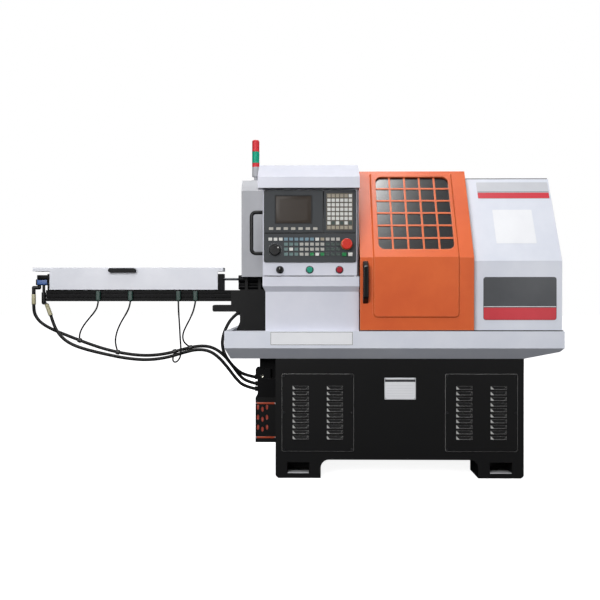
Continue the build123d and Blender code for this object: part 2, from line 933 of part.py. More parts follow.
def make_cnc_unit():
    left, top = unit_place(0, 0)
    right, low = unit_place(unit_w, unit_h)
    body = front_plate(left, right, low, top, unit_front, box_front, unit_r)
    margin = unit_box_margin
    body += block(
        left + margin, right - margin, box_front, box_front + unit_box_depth, low + margin, top - margin)
    x, z = unit_place(screen_x, screen_y)
    body -= front_plate(
        x, x + screen_w, z - screen_h, z, unit_front - overrun, unit_front + unit_groove * 2, unit_groove * 3)
    x, z = unit_place(divider_x, divider_y)
    body -= block(
        x - unit_groove / 2, x + unit_groove / 2, unit_front - overrun, unit_front + unit_groove, z, top)
    body -= block(
        left, right, unit_front - overrun, unit_front + unit_groove, z - unit_groove / 2, z + unit_groove / 2)
    deep = box_front + unit_box_depth / 2
    x, z = unit_place(knob_x, knob_y)
    body -= rod_y(x, unit_front - overrun, deep, z, knob_stem_r + gap)
    x, z = unit_place(stop_x, stop_y)
    body += rod_y(x, unit_front - stop_ring_t, unit_front, z, stop_ring_r)
    body -= rod_y(x, unit_front - overrun, deep, z, stop_neck_r + gap)
    for step in (0, 1):
        x, z = unit_place(cycle_x + step * cycle_pitch, cycle_y)
        body -= block(
            x - cycle_key_w / 2 - gap, x + cycle_key_w / 2 + gap, unit_front - overrun, unit_front + unit_t,
            z - cycle_key_h / 2 - gap, z + cycle_key_h / 2 + gap)
    return body


def make_panel_keys():
    keys = []

    def add(x, y, w, h):
        mid, z = unit_place(x, y)
        keys.append(block(mid - w / 2, mid + w / 2, unit_front - key_t, unit_front, z - h / 2, z + h / 2))

    for step in range(soft_keys):
        add(soft_x + step * soft_pitch, soft_y, soft_key_w, soft_key_h)
    for column in range(pad_cols):
        for row in range(pad_rows):
            add(pad_x + column * pad_pitch_x, pad_y + row * pad_pitch_y, pad_key, pad_key)
    for row in range(row_count):
        for column in range(row_skip if row else 0, row_cols):
            add(row_x + column * row_pitch_x, row_y + row * row_pitch_y, row_key_w, row_key_h)
    return keys[0] + keys[1:]


def make_override_knob():
    x, z = unit_place(knob_x, knob_y)
    knob = Pos(x, unit_front - gap - knob_t / 2, z) * Rot(90, 0, 0) * Cone(knob_r, knob_r * 5 / 6, knob_t)
    stem = rod_y(x, unit_front - gap, unit_front + unit_t, z, knob_stem_r)
    mark = block(
        x - knob_mark / 2, x + knob_mark / 2, unit_front - gap - knob_t - overrun,
        unit_front - gap - knob_t + knob_mark / 2, z, z + knob_r)
    return knob + stem - mark


def make_estop():
    x, z = unit_place(stop_x, stop_y)
    face = unit_front - stop_ring_t
    neck = rod_y(x, face - stop_neck, unit_front + unit_t, z, stop_neck_r)
    head = rod_y(x, face - stop_neck - stop_t, face - stop_neck, z, stop_r)
    head = fillet(head.edges().group_by(Axis.Y)[0], stop_t / 3)
    return neck + head


def make_cycle_key(step):
    x, z = unit_place(cycle_x + step * cycle_pitch, cycle_y)
    key = block(
        x - cycle_key_w / 2, x + cycle_key_w / 2, unit_front - cycle_key_t, unit_front + unit_t / 2,
        z - cycle_key_h / 2, z + cycle_key_h / 2)
    return chamfer(key.edges().group_by(Axis.Y)[0], cycle_key_t / 4)


def button_place(step):
    return panel_left + button_mid + step * button_pitch, panel_top_z - button_drop


def make_button(step):
    x, z = button_place(step)
    head = rod_y(x, box_front - button_t, box_front + button_stem, z, button_r)
    return chamfer(head.edges().group_by(Axis.Y)[0], button_t / 6)


def make_key_switch():
    x, z = button_place(-1)
    head = rod_y(x, box_front - button_t, box_front + button_stem, z, button_r)
    bow = block(
        x - key_bow_h / 2, x + key_bow_h / 2, box_front - button_t - key_bow_t, box_front - button_t,
        z - key_bow_w / 2, z + key_bow_w / 2)
    bow = fillet(bow.edges().filter_by(Axis.X).group_by(Axis.Y)[0], key_bow_w / 4)
    return head + bow


# Round bar bent to a bow between two feet
def bow_bar(points, bend, r):
    path = FilletPolyline(*points, radius=bend)
    return sweep(Plane(origin=path @ 0, z_dir=path % 0) * Circle(r), path)


def make_panel_handle():
    y = box_front + door_depth / 2
    low = panel_low_z + panel_grip_low
    high = low + panel_grip_len
    out = panel_left - panel_grip_out
    points = [(panel_left, y, low), (out, y, low), (out, y, high), (panel_left, y, high)]
    return bow_bar(points, panel_grip_bend, grip_r)


# Plane of the door's leaning face, with its origin at the middle of the fold
def leaning_face():
    return Plane(
        origin=((slide_left + slide_right) / 2, slide_front, slide_fold), x_dir=(1, 0, 0),
        z_dir=(0, -math.cos(lean), math.sin(lean)))


def window_outline(lap):
    return Pos(0, window_low + window_len / 2) * RectangleRounded(
        window_w + 2 * lap, window_len + 2 * lap, window_corner_r)


# Panel pressed out of the door's front, with a sloped border and the window's opening
def raised_panel():
    low = slide_low + emboss_low
    left, right = slide_left + emboss_left, slide_right - emboss_right
    panel = folded_layer(slide_front, low, slide_fold, slide_top - emboss_top, -emboss, 0, left, right)
    panel = fillet(panel.edges().filter_by(Axis.Y).group_by(Axis.Z)[0], emboss_r)
    faces = [face for face in panel.faces() if face.normal_at().Y < -1 / 2]
    middle = (left + right) / 2
    border = [
        edge for face in faces for edge in face.edges()
        if edge.center().Z < low + gap or abs(edge.center().X - middle) > gap]
    panel = chamfer(border, emboss_slope)
    return panel - extrude(leaning_face() * window_outline(0), overrun)


def make_sliding_door():
    low, fold, top = slide_low, slide_fold, slide_top
    left, right = slide_left, slide_right
    body = folded_layer(slide_front, low, fold, top, 0, slide_depth, left, right)
    body -= folded_layer(
        slide_front, low + sheet, fold, top - sheet, sheet, slide_depth + overrun, left + sheet,
        right - sheet)
    body += block(left, right, slide_top_y, slide_top_y + top_flange, top - sheet, top)
    cell_w = (window_w + window_bar) / window_cols
    cell_h = (window_len + window_bar) / window_rows
    cells = Sketch() + [
        Pos((column - (window_cols - 1) / 2) * cell_w, window_low + (row + 1 / 2) * cell_h - window_bar / 2)
        * Rectangle(cell_w - window_bar, cell_h - window_bar)
        for column in range(window_cols) for row in range(window_rows)]
    body -= extrude(leaning_face() * (cells & window_outline(0)), amount=overrun, both=True)
    return body + raised_panel()


def make_door_window():
    return extrude(leaning_face().offset(-sheet) * window_outline(glazing_lap), -glazing_t)


def make_door_handle():
    low = slide_low + pull_low
    left = slide_left + pull_inset
    face = slide_front
    outline = [
        (face, low), (face - pull_out, low + pull_slope), (face - pull_out, low + pull_len - pull_slope),
        (face, low + pull_len)]
    hollow = [
        (face + overrun, low + pull_slope), (face, low + pull_slope),
        (face - pull_out + pull_bar, low + 2 * pull_slope),
        (face - pull_out + pull_bar, low + pull_len - 2 * pull_slope), (face, low + pull_len - pull_slope),
        (face + overrun, low + pull_len - pull_slope)]
    body = side_profile(outline, left, left + pull_w)
    body = fillet(body.edges().filter_by(Axis.X).group_by(Axis.Y)[0], pull_bar)
    border = [edge for side in body.faces().filter_by(Axis.X) for edge in side.edges()]
    body = fillet([edge for edge in border if edge.center().Y < face - gap], pull_round)
    return body - side_profile(hollow, left - overrun, left + pull_w + overrun)


def upper_rail_y():
    return slide_top_y + top_flange - rail_strip_w


def make_door_rails():
    lower = block(
        housing_right, cover_right, slide_front + sheet, slide_front + slide_depth, rim_top,
        rim_top + slide_lift)
    y = upper_rail_y()
    upper = block(housing_right, cover_right, y, y + rail_strip_w, cover_top, cover_top + rail_strip_h)
    return lower + upper


def make_door_glides():
    y = upper_rail_y() + (rail_strip_w - glide_w) / 2
    pair = [
        block(x, x + glide_len, y, y + glide_w, cover_top + rail_strip_h, slide_top - sheet)
        for x in (slide_left + glide_len, slide_right - 2 * glide_len)]
    return pair[0] + pair[1]


def make_work_enclosure():
    roof = block(
        housing_right, cover_left, cover_top_y, cover_back, cover_top - sheet, cover_top)
    back = block(housing_right, cover_left, cover_back - sheet, cover_back, rim_top, cover_top)
    return roof + back + rear_panel(housing_right, cover_left, cover_top)


def make_right_cover():
    outline = [
        (cover_front, rim_top), (cover_front, cover_fold), (cover_top_y, cover_top), (cover_back, cover_top),
        (cover_back, rim_top)]
    inside = [
        (cover_front + sheet, rim_top - overrun),
        (cover_front + sheet, cover_fold - sheet * math.tan(lean / 2)),
        (cover_top_y + sheet, cover_top - sheet), (cover_back - sheet, cover_top - sheet),
        (cover_back - sheet, rim_top - overrun)]
    body = side_profile(outline, cover_left, cover_right)
    body -= side_profile(inside, cover_left + sheet, cover_right - sheet)
    mid = (rail_front + rail_back) / 2
    body -= block(
        cover_left - overrun, cover_left + sheet + overrun, mid - servo_window / 2, mid + servo_window / 2,
        rim_top - overrun, bed_top + overrun)
    side = offset(Polygon(*outline, align=None), -access_inset)
    side = fillet(side.vertices(), access_r)
    body += extrude(Plane.YZ.offset(cover_right) * side, access_t, dir=(1, 0, 0))
    return body + rear_panel(cover_left, cover_right, cover_top)


def make_spindle_hood():
    outline = [
        (hood_front, hood_bottom), (hood_front, hood_top - hood_slope_h),
        (hood_front + hood_slope_d, hood_top), (hood_back, hood_top), (hood_back, hood_bottom)]
    inside = [
        (hood_front + sheet, hood_bottom - overrun), (hood_front + sheet, hood_top - hood_slope_h - sheet),
        (hood_front + hood_slope_d + sheet, hood_top - sheet), (hood_back - sheet, hood_top - sheet),
        (hood_back - sheet, hood_bottom - overrun)]
    body = side_profile(outline, hood_left, housing_left)
    body -= side_profile(inside, hood_left + sheet, housing_left + overrun)
    body -= block(
        hood_left - overrun, hood_left + sheet + overrun, spindle_y - hood_notch_w / 2,
        spindle_y + hood_notch_w / 2, hood_bottom - overrun, hood_bottom + hood_notch_h)
    return body


light_low = hood_top + light_stem_h
light_ring_low = light_low + light_pole_h
light_green_low = light_ring_low + light_ring_h
light_red_low = light_green_low + light_lens_h


def light_rod(low, high, r):
    return rod_z(light_x, light_y, low, high, r)


def make_light_pole():
    return (
        light_rod(hood_top, hood_top + light_foot_t, light_foot_r)
        + light_rod(hood_top, light_low, light_stem_r)
        + light_rod(light_low, light_ring_low, light_r))


def lens(low, high):
    body = light_rod(low, high, light_r)
    return chamfer(body.edges().group_by(Axis.Z)[-1], light_groove)


def make_light_red():
    top = light_rod(light_red_low, light_red_low + light_lens_h, light_r)
    top = fillet(top.edges().group_by(Axis.Z)[-1], light_dome)
    return top + light_rod(light_ring_low, light_green_low, light_r)


def make_feeder_beam():
    body = block(
        beam_left, beam_right, beam_front, beam_front + beam_w, beam_top - beam_h, beam_top)
    z = beam_top - beam_h / 2
    for y in (beam_front, beam_front + beam_w):
        for way in (-1, 1):
            mid = z + way * beam_slot_w
            body -= block(
                beam_left - overrun, beam_right + overrun, y - beam_slot_deep, y + beam_slot_deep,
                mid - beam_slot_w / 3, mid + beam_slot_w / 3)
    return body


hinge_y = spindle_y + hinge_back
hinge_z = spindle_z + hinge_rise


def hinge_mid(step):
    return trough_left + (trough_right - trough_left) * (2 * step + 1) / (2 * hinge_count)


def make_feeder_trough():
    half = trough_w / 2
    top = beam_top + trough_h
    body = block(trough_left, trough_right, spindle_y - half, spindle_y + half, beam_top, top)
    body -= block(
        trough_left, trough_right, spindle_y - half + trough_wall, spindle_y + half - trough_wall,
        beam_top + trough_floor, top + overrun)
    body += block(
        trough_left - end_plate_left_t, trough_left, spindle_y - half, spindle_y + half, beam_top, top)
    body += block(
        trough_right, trough_right + end_plate_right_t, spindle_y - half, spindle_y + half, beam_top, top)
    body -= rod_x(
        trough_right - overrun, trough_right + end_plate_right_t + overrun, spindle_y, spindle_z,
        push_r + running)
    for step in range(hinge_count):
        mid = hinge_mid(step)
        for way in (-1, 1):
            ear = mid + way * (hinge_len + hinge_ear_t + 2 * gap) / 2
            body += block(
                ear - hinge_ear_t / 2, ear + hinge_ear_t / 2, spindle_y + half, hinge_y,
                hinge_z - hinge_barrel_r, hinge_z + hinge_barrel_r / 2)
        reach = hinge_len / 2 + hinge_ear_t + gap
        body += rod_x(mid - reach, mid + reach, hinge_y, hinge_z, hinge_r)
    return body


def make_feeder_lid():
    half = lid_w / 2
    front, back = spindle_y - half, spindle_y + half
    rim = lid_top - lid_rim_h
    body = block(lid_left, lid_right, front, back, rim, lid_top)
    body = chamfer(body.edges().filter_by(Axis.X).group_by(Axis.Z)[-1], sheet)
    body -= block(
        lid_left + sheet, lid_right - sheet, front + sheet, back - sheet, rim - overrun, lid_top - sheet)
    body += block(
        trough_left, trough_right, front, front + sheet, spindle_z - lid_skirt_low, rim)
    for step in range(hinge_count):
        mid = hinge_mid(step)
        left, right = mid - hinge_len / 2, mid + hinge_len / 2
        body += rod_x(left, right, hinge_y, hinge_z, hinge_barrel_r)
        body += block(left, right, back - sheet, hinge_y, hinge_z, rim + sheet)
        body -= rod_x(left - overrun, right + overrun, hinge_y, hinge_z, hinge_r + running)
    return body


def make_lid_handle():
    face = spindle_y - lid_w / 2
    z = lid_top - lid_grip_drop
    left, right = lid_grip_x - lid_grip_w / 2, lid_grip_x + lid_grip_w / 2
    low, high = z - lid_grip_h / 2, z + lid_grip_h / 2
    body = front_plate(left, right, low, high, face - lid_grip_out, face, lid_grip_h / 2 - gap)
    hollow = block(
        left + 2 * lid_grip_bar, right - 2 * lid_grip_bar, face - lid_grip_out + lid_grip_bar, face + overrun,
        low - overrun, high + overrun)
    return body - hollow


def make_feeder_drive():
    right = trough_left - end_plate_left_t
    half = drive_w / 2
    body = block(
        drive_left, right, spindle_y - half, spindle_y + half, spindle_z - drive_h, spindle_z)
    body = fillet(body.edges().filter_by(Axis.X), drive_cap_h)
    cap = block(
        drive_left + drive_cap_h, right, spindle_y - half / 2, spindle_y + half / 2, spindle_z,
        spindle_z + drive_cap_h)
    return body + cap


drive_low = spindle_z - drive_h


def make_feeder_fittings():
    low = drive_low - elbow_drop
    inner = drive_left + elbow_in / 2
    elbow = rod_z(inner, elbow_y, low, drive_low, elbow_r)
    elbow += Pos(inner, elbow_y, low) * Sphere(elbow_r)
    elbow += rod_x(elbow_x, inner, elbow_y, low, elbow_r)
    elbow += Pos(elbow_x, elbow_y, low) * Sphere(elbow_r)
    hose_end = hose_routes["air_hose_left"][0][2]
    elbow += rod_z(elbow_x, elbow_y, hose_end + ferrule_len, low, elbow_r)
    elbow += rod_z(elbow_x, elbow_y, hose_end, hose_end + ferrule_len, ferrule_r)
    tee_y = ferrule_b_start[1]
    tee_low = drive_low - tee_len
    tee = rod_z(tee_x, tee_y, tee_low, drive_low, tee_r)
    tee += rod_z(tee_x, tee_y, tee_low - tee_body_len, tee_low, tee_body_r)
    joint = Vector(tee_x, tee_y, tee_low - tee_body_len)
    tee += Pos(joint) * Sphere(tee_body_r)
    run = Line(joint, Vector(*ferrule_b_start))
    tee += sweep(Plane(origin=run @ 0, z_dir=run % 0) * Circle(tee_r), run)
    run = Line(Vector(*ferrule_b_start), Vector(*ferrule_b_end))
    tee += sweep(Plane(origin=run @ 0, z_dir=run % 0) * Circle(ferrule_r), run)
    return elbow + tee


def make_push_rod():
    return (
        rod_x(push_left, push_right, spindle_y, spindle_z, push_r)
        + rod_x(push_left, push_left + pusher_len, spindle_y, spindle_z, pusher_r))


def make_guide_tubes():
    tube = rod_x(guide_left, guide_right, spindle_y, spindle_z, guide_r)
    tube -= rod_x(guide_left - overrun, guide_right + overrun, spindle_y, spindle_z, guide_bore_r)
    tube += rod_x(guide_left, guide_right, spindle_y, spindle_z - clamp_drop, clamp_r)
    edges = [guide_left]
    for x in saddle_places():
        edges += [x - gap, x + saddle_t + gap]
    edges.append(guide_right)
    for left, right in zip(edges[::2], edges[1::2]):
        tube += block(
            left, right, spindle_y - guide_web / 2, spindle_y + guide_web / 2, spindle_z - clamp_drop,
            spindle_z - (guide_r + guide_bore_r) / 2)
    return tube


def saddle_places():
    return post_left + saddle_inset, post_right - saddle_inset - saddle_t


def make_feeder_post():
    front, back = spindle_y - post_half_d, spindle_y + post_half_d
    top = spindle_z - clamp_drop - clamp_r
    body = block(post_left, post_right, front, back, tray_floor, top)
    body -= block(
        post_left + post_wall, post_right - post_wall, front + post_wall, back + overrun,
        tray_floor + post_wall, top - post_wall)
    for x in saddle_places():
        body += block(
            x, x + saddle_t, spindle_y - saddle_half_w, spindle_y + saddle_half_w, top,
            spindle_z + saddle_over)
        body -= rod_x(x - overrun, x + saddle_t + overrun, spindle_y, spindle_z, guide_r + running)
        body -= rod_x(
            x - overrun, x + saddle_t + overrun, spindle_y, spindle_z - clamp_drop, clamp_r + running)
    body += front_profile(
        [(post_left, tray_floor), (post_left, tray_floor + gusset_h),
         (post_left - gusset_w, tray_floor + gusset_h * 2 / 3), (post_left - gusset_w * 2 / 3, tray_floor)],
        spindle_y - post_wall, spindle_y + post_wall)
    run = Line(Vector(*post_gland), Vector(*hose_routes["air_hose_post"][0]))
    body += sweep(Plane(origin=run @ 0, z_dir=run % 0) * Circle(gland_r), run)
    return body + support_arm()


def support_arm():
    low = beam_top - beam_h - arm_drop - arm_h
    plate = block(
        beam_right - arm_plate_w, beam_right, beam_front - arm_t, beam_front, low, beam_top)
    arm = block(arm_left, beam_right, beam_front - arm_t, beam_front + beam_w, low, low + arm_h)
    arm = fillet(arm.edges().filter_by(Axis.Y).group_by(Axis.X)[0], arm_h / 4)
    web = block(
        beam_right - arm_plate_w, beam_right, beam_front, beam_front + beam_w, low + arm_h, beam_top - beam_h)
    return plate + arm + web


def make_beam_sensors():
    bodies = []
    for x in sensor_xs:
        top = beam_top - sensor_boss_h / 2
        body = block(
            x - sensor_w / 2, x + sensor_w / 2, beam_front - sensor_t, beam_front, top - sensor_h, top)
        body = fillet(body.edges().filter_by(Axis.Z).group_by(Axis.Y)[0], sensor_t / 4)
        end = hose_routes["sensor_cable_1"][0]
        bodies.append(body + rod_z(x, end[1], end[2], top - sensor_h, sensor_boss_r))
    return bodies[0] + bodies[1:]


def make_side_vent_box():
    left = stand_left - side_out
    body = block(left, stand_left, side_front, side_back, vent_low, vent_low + vent_h)
    body -= block(
        left + vent_t, stand_left, side_front + vent_t, side_back - vent_t, vent_low + vent_t,
        vent_low + vent_h - vent_t)
    mid_x = (left + stand_left) / 2 - slot_left
    mid_z = vent_low + vent_h / 2 + slot_up
    half_w, half_h = slot_w / 2, slot_h / 2
    lens_slot = [
        (0, half_h), (half_w, half_h / 2), (half_w, -half_h / 2), (0, -half_h), (-half_w, -half_h / 2),
        (-half_w, half_h / 2)]
    slots = []
    for column in range(slot_cols):
        for row in range(slot_rows):
            x = mid_x + (column - (slot_cols - 1) / 2) * slot_pitch_x
            z = mid_z + (row - (slot_rows - 1) / 2) * slot_pitch_z + (1 / 2 - column % 2) * slot_stagger
            slots.append(Pos(x, z) * Polygon(*lens_slot, align=None))
    face = Plane.XZ.offset(overrun - side_front)
    return body - extrude(face * (Sketch() + slots), vent_t + 2 * overrun, dir=(0, 1, 0))


def make_valve_block():
    left = stand_left - side_out + valve_in
    top = valve_low + valve_h
    body = block(left, stand_left, side_front, side_back, valve_low, top)
    body += block(
        left - valve_in, left - valve_in + plug_w, side_front + valve_in, side_back - valve_in, top,
        top + plug_h)
    body += block(
        stand_left - riser_w, stand_left, side_front + riser_d, side_front + 2 * riser_d, top, stand_h)
    for y, z in gland_places:
        body += rod_x(left - gland_len, left, y, z, gland_r)
    return body


def make_coolant_tank():
    low = foot_h + sheet
    body = block(tank_left, tank_left + tank_w, -tank_d / 2, tank_d / 2, low, low + tank_h)
    body -= block(
        tank_left + tank_wall, tank_left + tank_w - tank_wall, tank_wall - tank_d / 2, tank_d / 2 - tank_wall,
        low + tank_wall, low + tank_h - tank_wall)
    x = tank_left + tank_w - pump_inset
    y = tank_d / 2 - pump_inset
    return body + rod_z(x, y, low + tank_h, low + tank_h + pump_h, pump_r)


def make_drive_modules():
    units = []
    low = rim_top + module_low
    back = cover_back - sheet
    for step in range(module_count):
        x = module_left + step * module_pitch
        unit = block(x, x + module_w, back - module_t, back, low, low + module_h)
        for fin in range(module_fins):
            z = low + module_h * (fin + 1) / (module_fins + 1)
            unit -= block(
                x + module_fin, x + module_w - module_fin, back - module_t - overrun,
                back - module_t + module_fin, z, z + module_fin)
        units.append(unit)
    return units[0] + units[1:]


# Radius of each corner: about as large as the two runs beside it allow
def corner_radii(points):
    spots = [Vector(*point) for point in points]
    radii = []
    for before, here, after in zip(spots, spots[1:], spots[2:]):
        turn = math.radians((here - before).get_angle(after - here))
        run = min((here - before).length, (after - here).length)
        radii.append(corner_share * run / math.tan(turn / 2))
    return radii


def make_cord(name):
    points = hose_routes[name]
    r = hose_r if name.startswith("air") else cable_r
    radii = corner_radii(points)
    path = FilletPolyline(*points, radius=radii)
    tube = sweep(Plane(origin=path @ 0, z_dir=path % 0) * Circle(r), path)
    ratio = tube.volume / (math.pi * r * r * path.length)
    rounded = [round(radius) for radius in radii]
    print(name, "radii", rounded, "length", round(path.length), "volume", round(ratio, 4))
    return tube


def make_hose_ties():
    route = hose_routes["air_hose_left"]
    ties = []
    for first, last in tie_runs:
        start, end = Vector(*route[first]), Vector(*route[last])
        along = (end - start).normalized()
        middle = (start + end) * (1 / 2)
        run = Line(middle - along * (tie_len / 2), middle + along * (tie_len / 2))
        ties.append(sweep(Plane(origin=run @ 0, z_dir=along) * Circle(tie_r), run))
    return ties[0] + ties[1:]


nodes = {
    "stand": make_stand(),
    "louvre_panels": make_louvre_panels(),
    "chip_tray": make_chip_tray(),
    "coolant_tank": make_coolant_tank(),
    "side_vent_box": make_side_vent_box(),
    "valve_block": make_valve_block(),
    "bed": make_bed(),
    "headstock": make_headstock(),
    "main_motor": make_main_motor(),
    "drive_belt": make_drive_belt(),
    "servo_motor": make_servo(),
    "control_housing": make_control_housing(),
    "drive_modules": make_drive_modules(),
    "spindle_hood": make_spindle_hood(),
    "work_enclosure": make_work_enclosure(),
    "right_cover": make_right_cover(),
    "door_rails": make_door_rails(),
    "light_pole": make_light_pole(),
    "light_green": lens(light_green_low, light_red_low),
    "light_red": make_light_red(),
    "feeder_beam": make_feeder_beam(),
    "feeder_trough": make_feeder_trough(),
    "feeder_drive": make_feeder_drive(),
    "feeder_fittings": make_feeder_fittings(),
    "feeder_post": make_feeder_post(),
    "guide_tubes": make_guide_tubes(),
    "beam_sensors": make_beam_sensors(),
    "hose_ties": make_hose_ties(),
    "sliding_door": make_sliding_door(),
    "door_window": make_door_window(),
    "door_handle": make_door_handle(),
    "door_glides": make_door_glides(),
    "panel_door": make_panel_door(),
    "cnc_unit": make_cnc_unit(),
    "panel_keys": make_panel_keys(),
    "panel_handle": make_panel_handle(),
    "override_knob": make_override_knob(),
    "estop_button": make_estop(),
    "cycle_start_key": make_cycle_key(0),
    "feed_hold_key": make_cycle_key(1),
    "key_switch": make_key_switch(),
    "start_button": make_button(0),
    "stop_button": make_button(1),
    "spindle": make_spindle(),
    "collet_chuck": make_collet_chuck(),
    "spindle_pulley": pulley(spindle_y, spindle_z, pulley_r, spindle_r + running),
    "motor_pulley": make_motor_pulley(),
    "carriage": make_carriage(),
    "cross_slide": make_cross_slide(),
    "gang_tools": make_gang_tools(),
    "push_rod": make_push_rod(),
    "feeder_lid": make_feeder_lid(),
    "lid_handle": make_lid_handle(),
}
for cord in hose_routes:
    nodes[cord] = make_cord(cord)

for name, shape in nodes.items():
    export_step(shape, f"parts/{name}.step")
print(len(nodes), "nodes")
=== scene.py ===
import bpy
import bmesh
from math import pi, radians
from mathutils import Matrix, Vector


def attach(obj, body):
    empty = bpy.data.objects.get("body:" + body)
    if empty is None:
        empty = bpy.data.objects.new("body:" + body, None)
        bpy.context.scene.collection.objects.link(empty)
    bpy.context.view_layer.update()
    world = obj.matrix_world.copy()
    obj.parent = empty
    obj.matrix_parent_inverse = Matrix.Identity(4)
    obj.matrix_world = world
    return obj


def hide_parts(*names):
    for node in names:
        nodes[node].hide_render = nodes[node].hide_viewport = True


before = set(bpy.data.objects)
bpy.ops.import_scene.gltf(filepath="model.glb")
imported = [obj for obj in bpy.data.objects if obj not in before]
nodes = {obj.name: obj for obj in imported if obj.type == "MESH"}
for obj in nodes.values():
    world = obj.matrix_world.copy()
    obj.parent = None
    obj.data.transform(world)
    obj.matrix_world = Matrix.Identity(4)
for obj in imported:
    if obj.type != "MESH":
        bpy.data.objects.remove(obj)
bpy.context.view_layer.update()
scene = bpy.context.scene
print("frame loaded:", len(nodes), "nodes")

# camera: eye and aim fitted to the corners of the machine
camera = {"eye": (-0.4152, -4.3120, 0.8569), "down": 0.0058, "left": 0.0129,
          "lens": 49.77, "sensor": 36, "reach": 200}


def placeCamera():
    lens = bpy.data.cameras.new("lathe_camera")
    lens.lens = camera["lens"]
    lens.sensor_width = camera["sensor"]
    lens.clip_end = camera["reach"]
    eye = bpy.data.objects.new("lathe_camera", lens)
    scene.collection.objects.link(eye)
    eye.location = camera["eye"]
    eye.rotation_euler = (pi / 2 - camera["down"], 0, camera["left"])
    scene.camera = eye


placeCamera()
print("camera placed")

# shared shader groups: noise as scale, detail and roughness, ranges as from and to
grainLook = {"height": (2.0, 0.5), "cloud": (4.0, 0.6)}
wearAndSheenLook = {"samples": 4, "turn": (0.99, 0.80), "patch": (60.0, 5.0, 0.65), "broken": (0.38, 0.62)}
dustLook = {"up": (0.45, 0.98), "cloud": (6.0, 0.6), "settled": (0.35, 0.75)}
brushLook = {"marks": (3.0, 0.6), "tint": (9.0, 5.0, 0.65)}


def newGroup(name, inputs, outputs):
    group = bpy.data.node_groups.new(name, "ShaderNodeTree")
    for label, kind, value in inputs:
        socket = group.interface.new_socket(label, in_out="INPUT", socket_type=kind)
        socket.default_value = value
    for label, kind in outputs:
        group.interface.new_socket(label, in_out="OUTPUT", socket_type=kind)
    start = group.nodes.new("NodeGroupInput")
    end = group.nodes.new("NodeGroupOutput")
    return group, start, end


def addNode(tree, kind, **settings):
    node = tree.nodes.new(kind)
    for key, value in settings.items():
        setattr(node, key, value)
    return node


def feed(tree, socket, value):
    if isinstance(value, bpy.types.NodeSocket):
        tree.links.new(value, socket)
    else:
        socket.default_value = value


def mathNode(tree, operation, first, second, clamp=False):
    node = addNode(tree, "ShaderNodeMath", operation=operation, use_clamp=clamp)
    feed(tree, node.inputs[0], first)
    feed(tree, node.inputs[1], second)
    return node.outputs[0]


def spread(tree, value, low, high, newLow=0.0, newHigh=1.0):
    node = addNode(tree, "ShaderNodeMapRange", clamp=True)
    for socket, amount in zip(node.inputs, (value, low, high, newLow, newHigh)):
        feed(tree, socket, amount)
    return node.outputs[0]


def noise(tree, vector, scale, detail, rough):
    node = addNode(tree, "ShaderNodeTexNoise")
    feed(tree, node.inputs["Vector"], vector)
    feed(tree, node.inputs["Scale"], scale)
    node.inputs["Detail"].default_value = detail
    node.inputs["Roughness"].default_value = rough
    return node.outputs["Fac"]


def objectPlace(tree):
    return addNode(tree, "ShaderNodeTexCoord").outputs["Object"]


def normalParts(tree):
    surface = addNode(tree, "ShaderNodeNewGeometry")
    parts = addNode(tree, "ShaderNodeSeparateXYZ")
    tree.links.new(surface.outputs["Normal"], parts.inputs[0])
    return parts.outputs


def makeCoatGrain():  # orange peel of sprayed paint and the grain of moulded plastic
    group, start, end = newGroup(
        "coatGrain",
        [("Scale", "NodeSocketFloat", 700.0), ("Cloud", "NodeSocketFloat", 4.0)],
        [("Height", "NodeSocketFloat"), ("Cloud", "NodeSocketFloat")])
    place = objectPlace(group)
    height = noise(group, place, start.outputs["Scale"], *grainLook["height"])
    cloud = noise(group, place, start.outputs["Cloud"], *grainLook["cloud"])
    feed(group, end.inputs["Height"], height)
    feed(group, end.inputs["Cloud"], cloud)
    return group


def makeEdgeWearAndSheen():  # paint thinned or rubbed along the edges; where a finish asks for it, the same mask draws a painted highlight along the edges
    group, start, end = newGroup(
        "edgeWearAndSheen",
        [("Radius", "NodeSocketFloat", 0.002), ("Amount", "NodeSocketFloat", 0.5),
         ("Break", "NodeSocketFloat", 1.0)],
        [("Mask", "NodeSocketFloat"), ("Normal", "NodeSocketVector")])
    rounded = addNode(group, "ShaderNodeBevel", samples=wearAndSheenLook["samples"])
    feed(group, rounded.inputs["Radius"], start.outputs["Radius"])
    surface = addNode(group, "ShaderNodeNewGeometry")
    dot = addNode(group, "ShaderNodeVectorMath", operation="DOT_PRODUCT")
    group.links.new(rounded.outputs[0], dot.inputs[0])
    group.links.new(surface.outputs["Normal"], dot.inputs[1])
    turn = spread(group, dot.outputs["Value"], *wearAndSheenLook["turn"])
    patch = noise(group, objectPlace(group), *wearAndSheenLook["patch"])
    patch = spread(group, patch, *wearAndSheenLook["broken"])
    whole = mathNode(group, "SUBTRACT", 1.0, start.outputs["Break"])
    broken = mathNode(group, "MULTIPLY", patch, start.outputs["Break"])
    wornAndLit = mathNode(group, "MULTIPLY", turn, mathNode(group, "ADD", broken, whole))
    mask = mathNode(group, "MULTIPLY", wornAndLit, start.outputs["Amount"], True)
    feed(group, end.inputs["Mask"], mask)
    feed(group, end.inputs["Normal"], rounded.outputs[0])
    return group


def makeDustFall():  # fine dust on what faces up
    group, start, end = newGroup(
        "dustFall",
        [("Amount", "NodeSocketFloat", 0.3), ("Scale", "NodeSocketFloat", 22.0)],
        [("Mask", "NodeSocketFloat")])
    up = spread(group, normalParts(group)["Z"], *dustLook["up"])
    cloud = noise(group, objectPlace(group), start.outputs["Scale"], *dustLook["cloud"])
    settled = mathNode(group, "MULTIPLY", up, spread(group, cloud, *dustLook["settled"]))
    mask = mathNode(group, "MULTIPLY", settled, start.outputs["Amount"], True)
    feed(group, end.inputs["Mask"], mask)
    return group


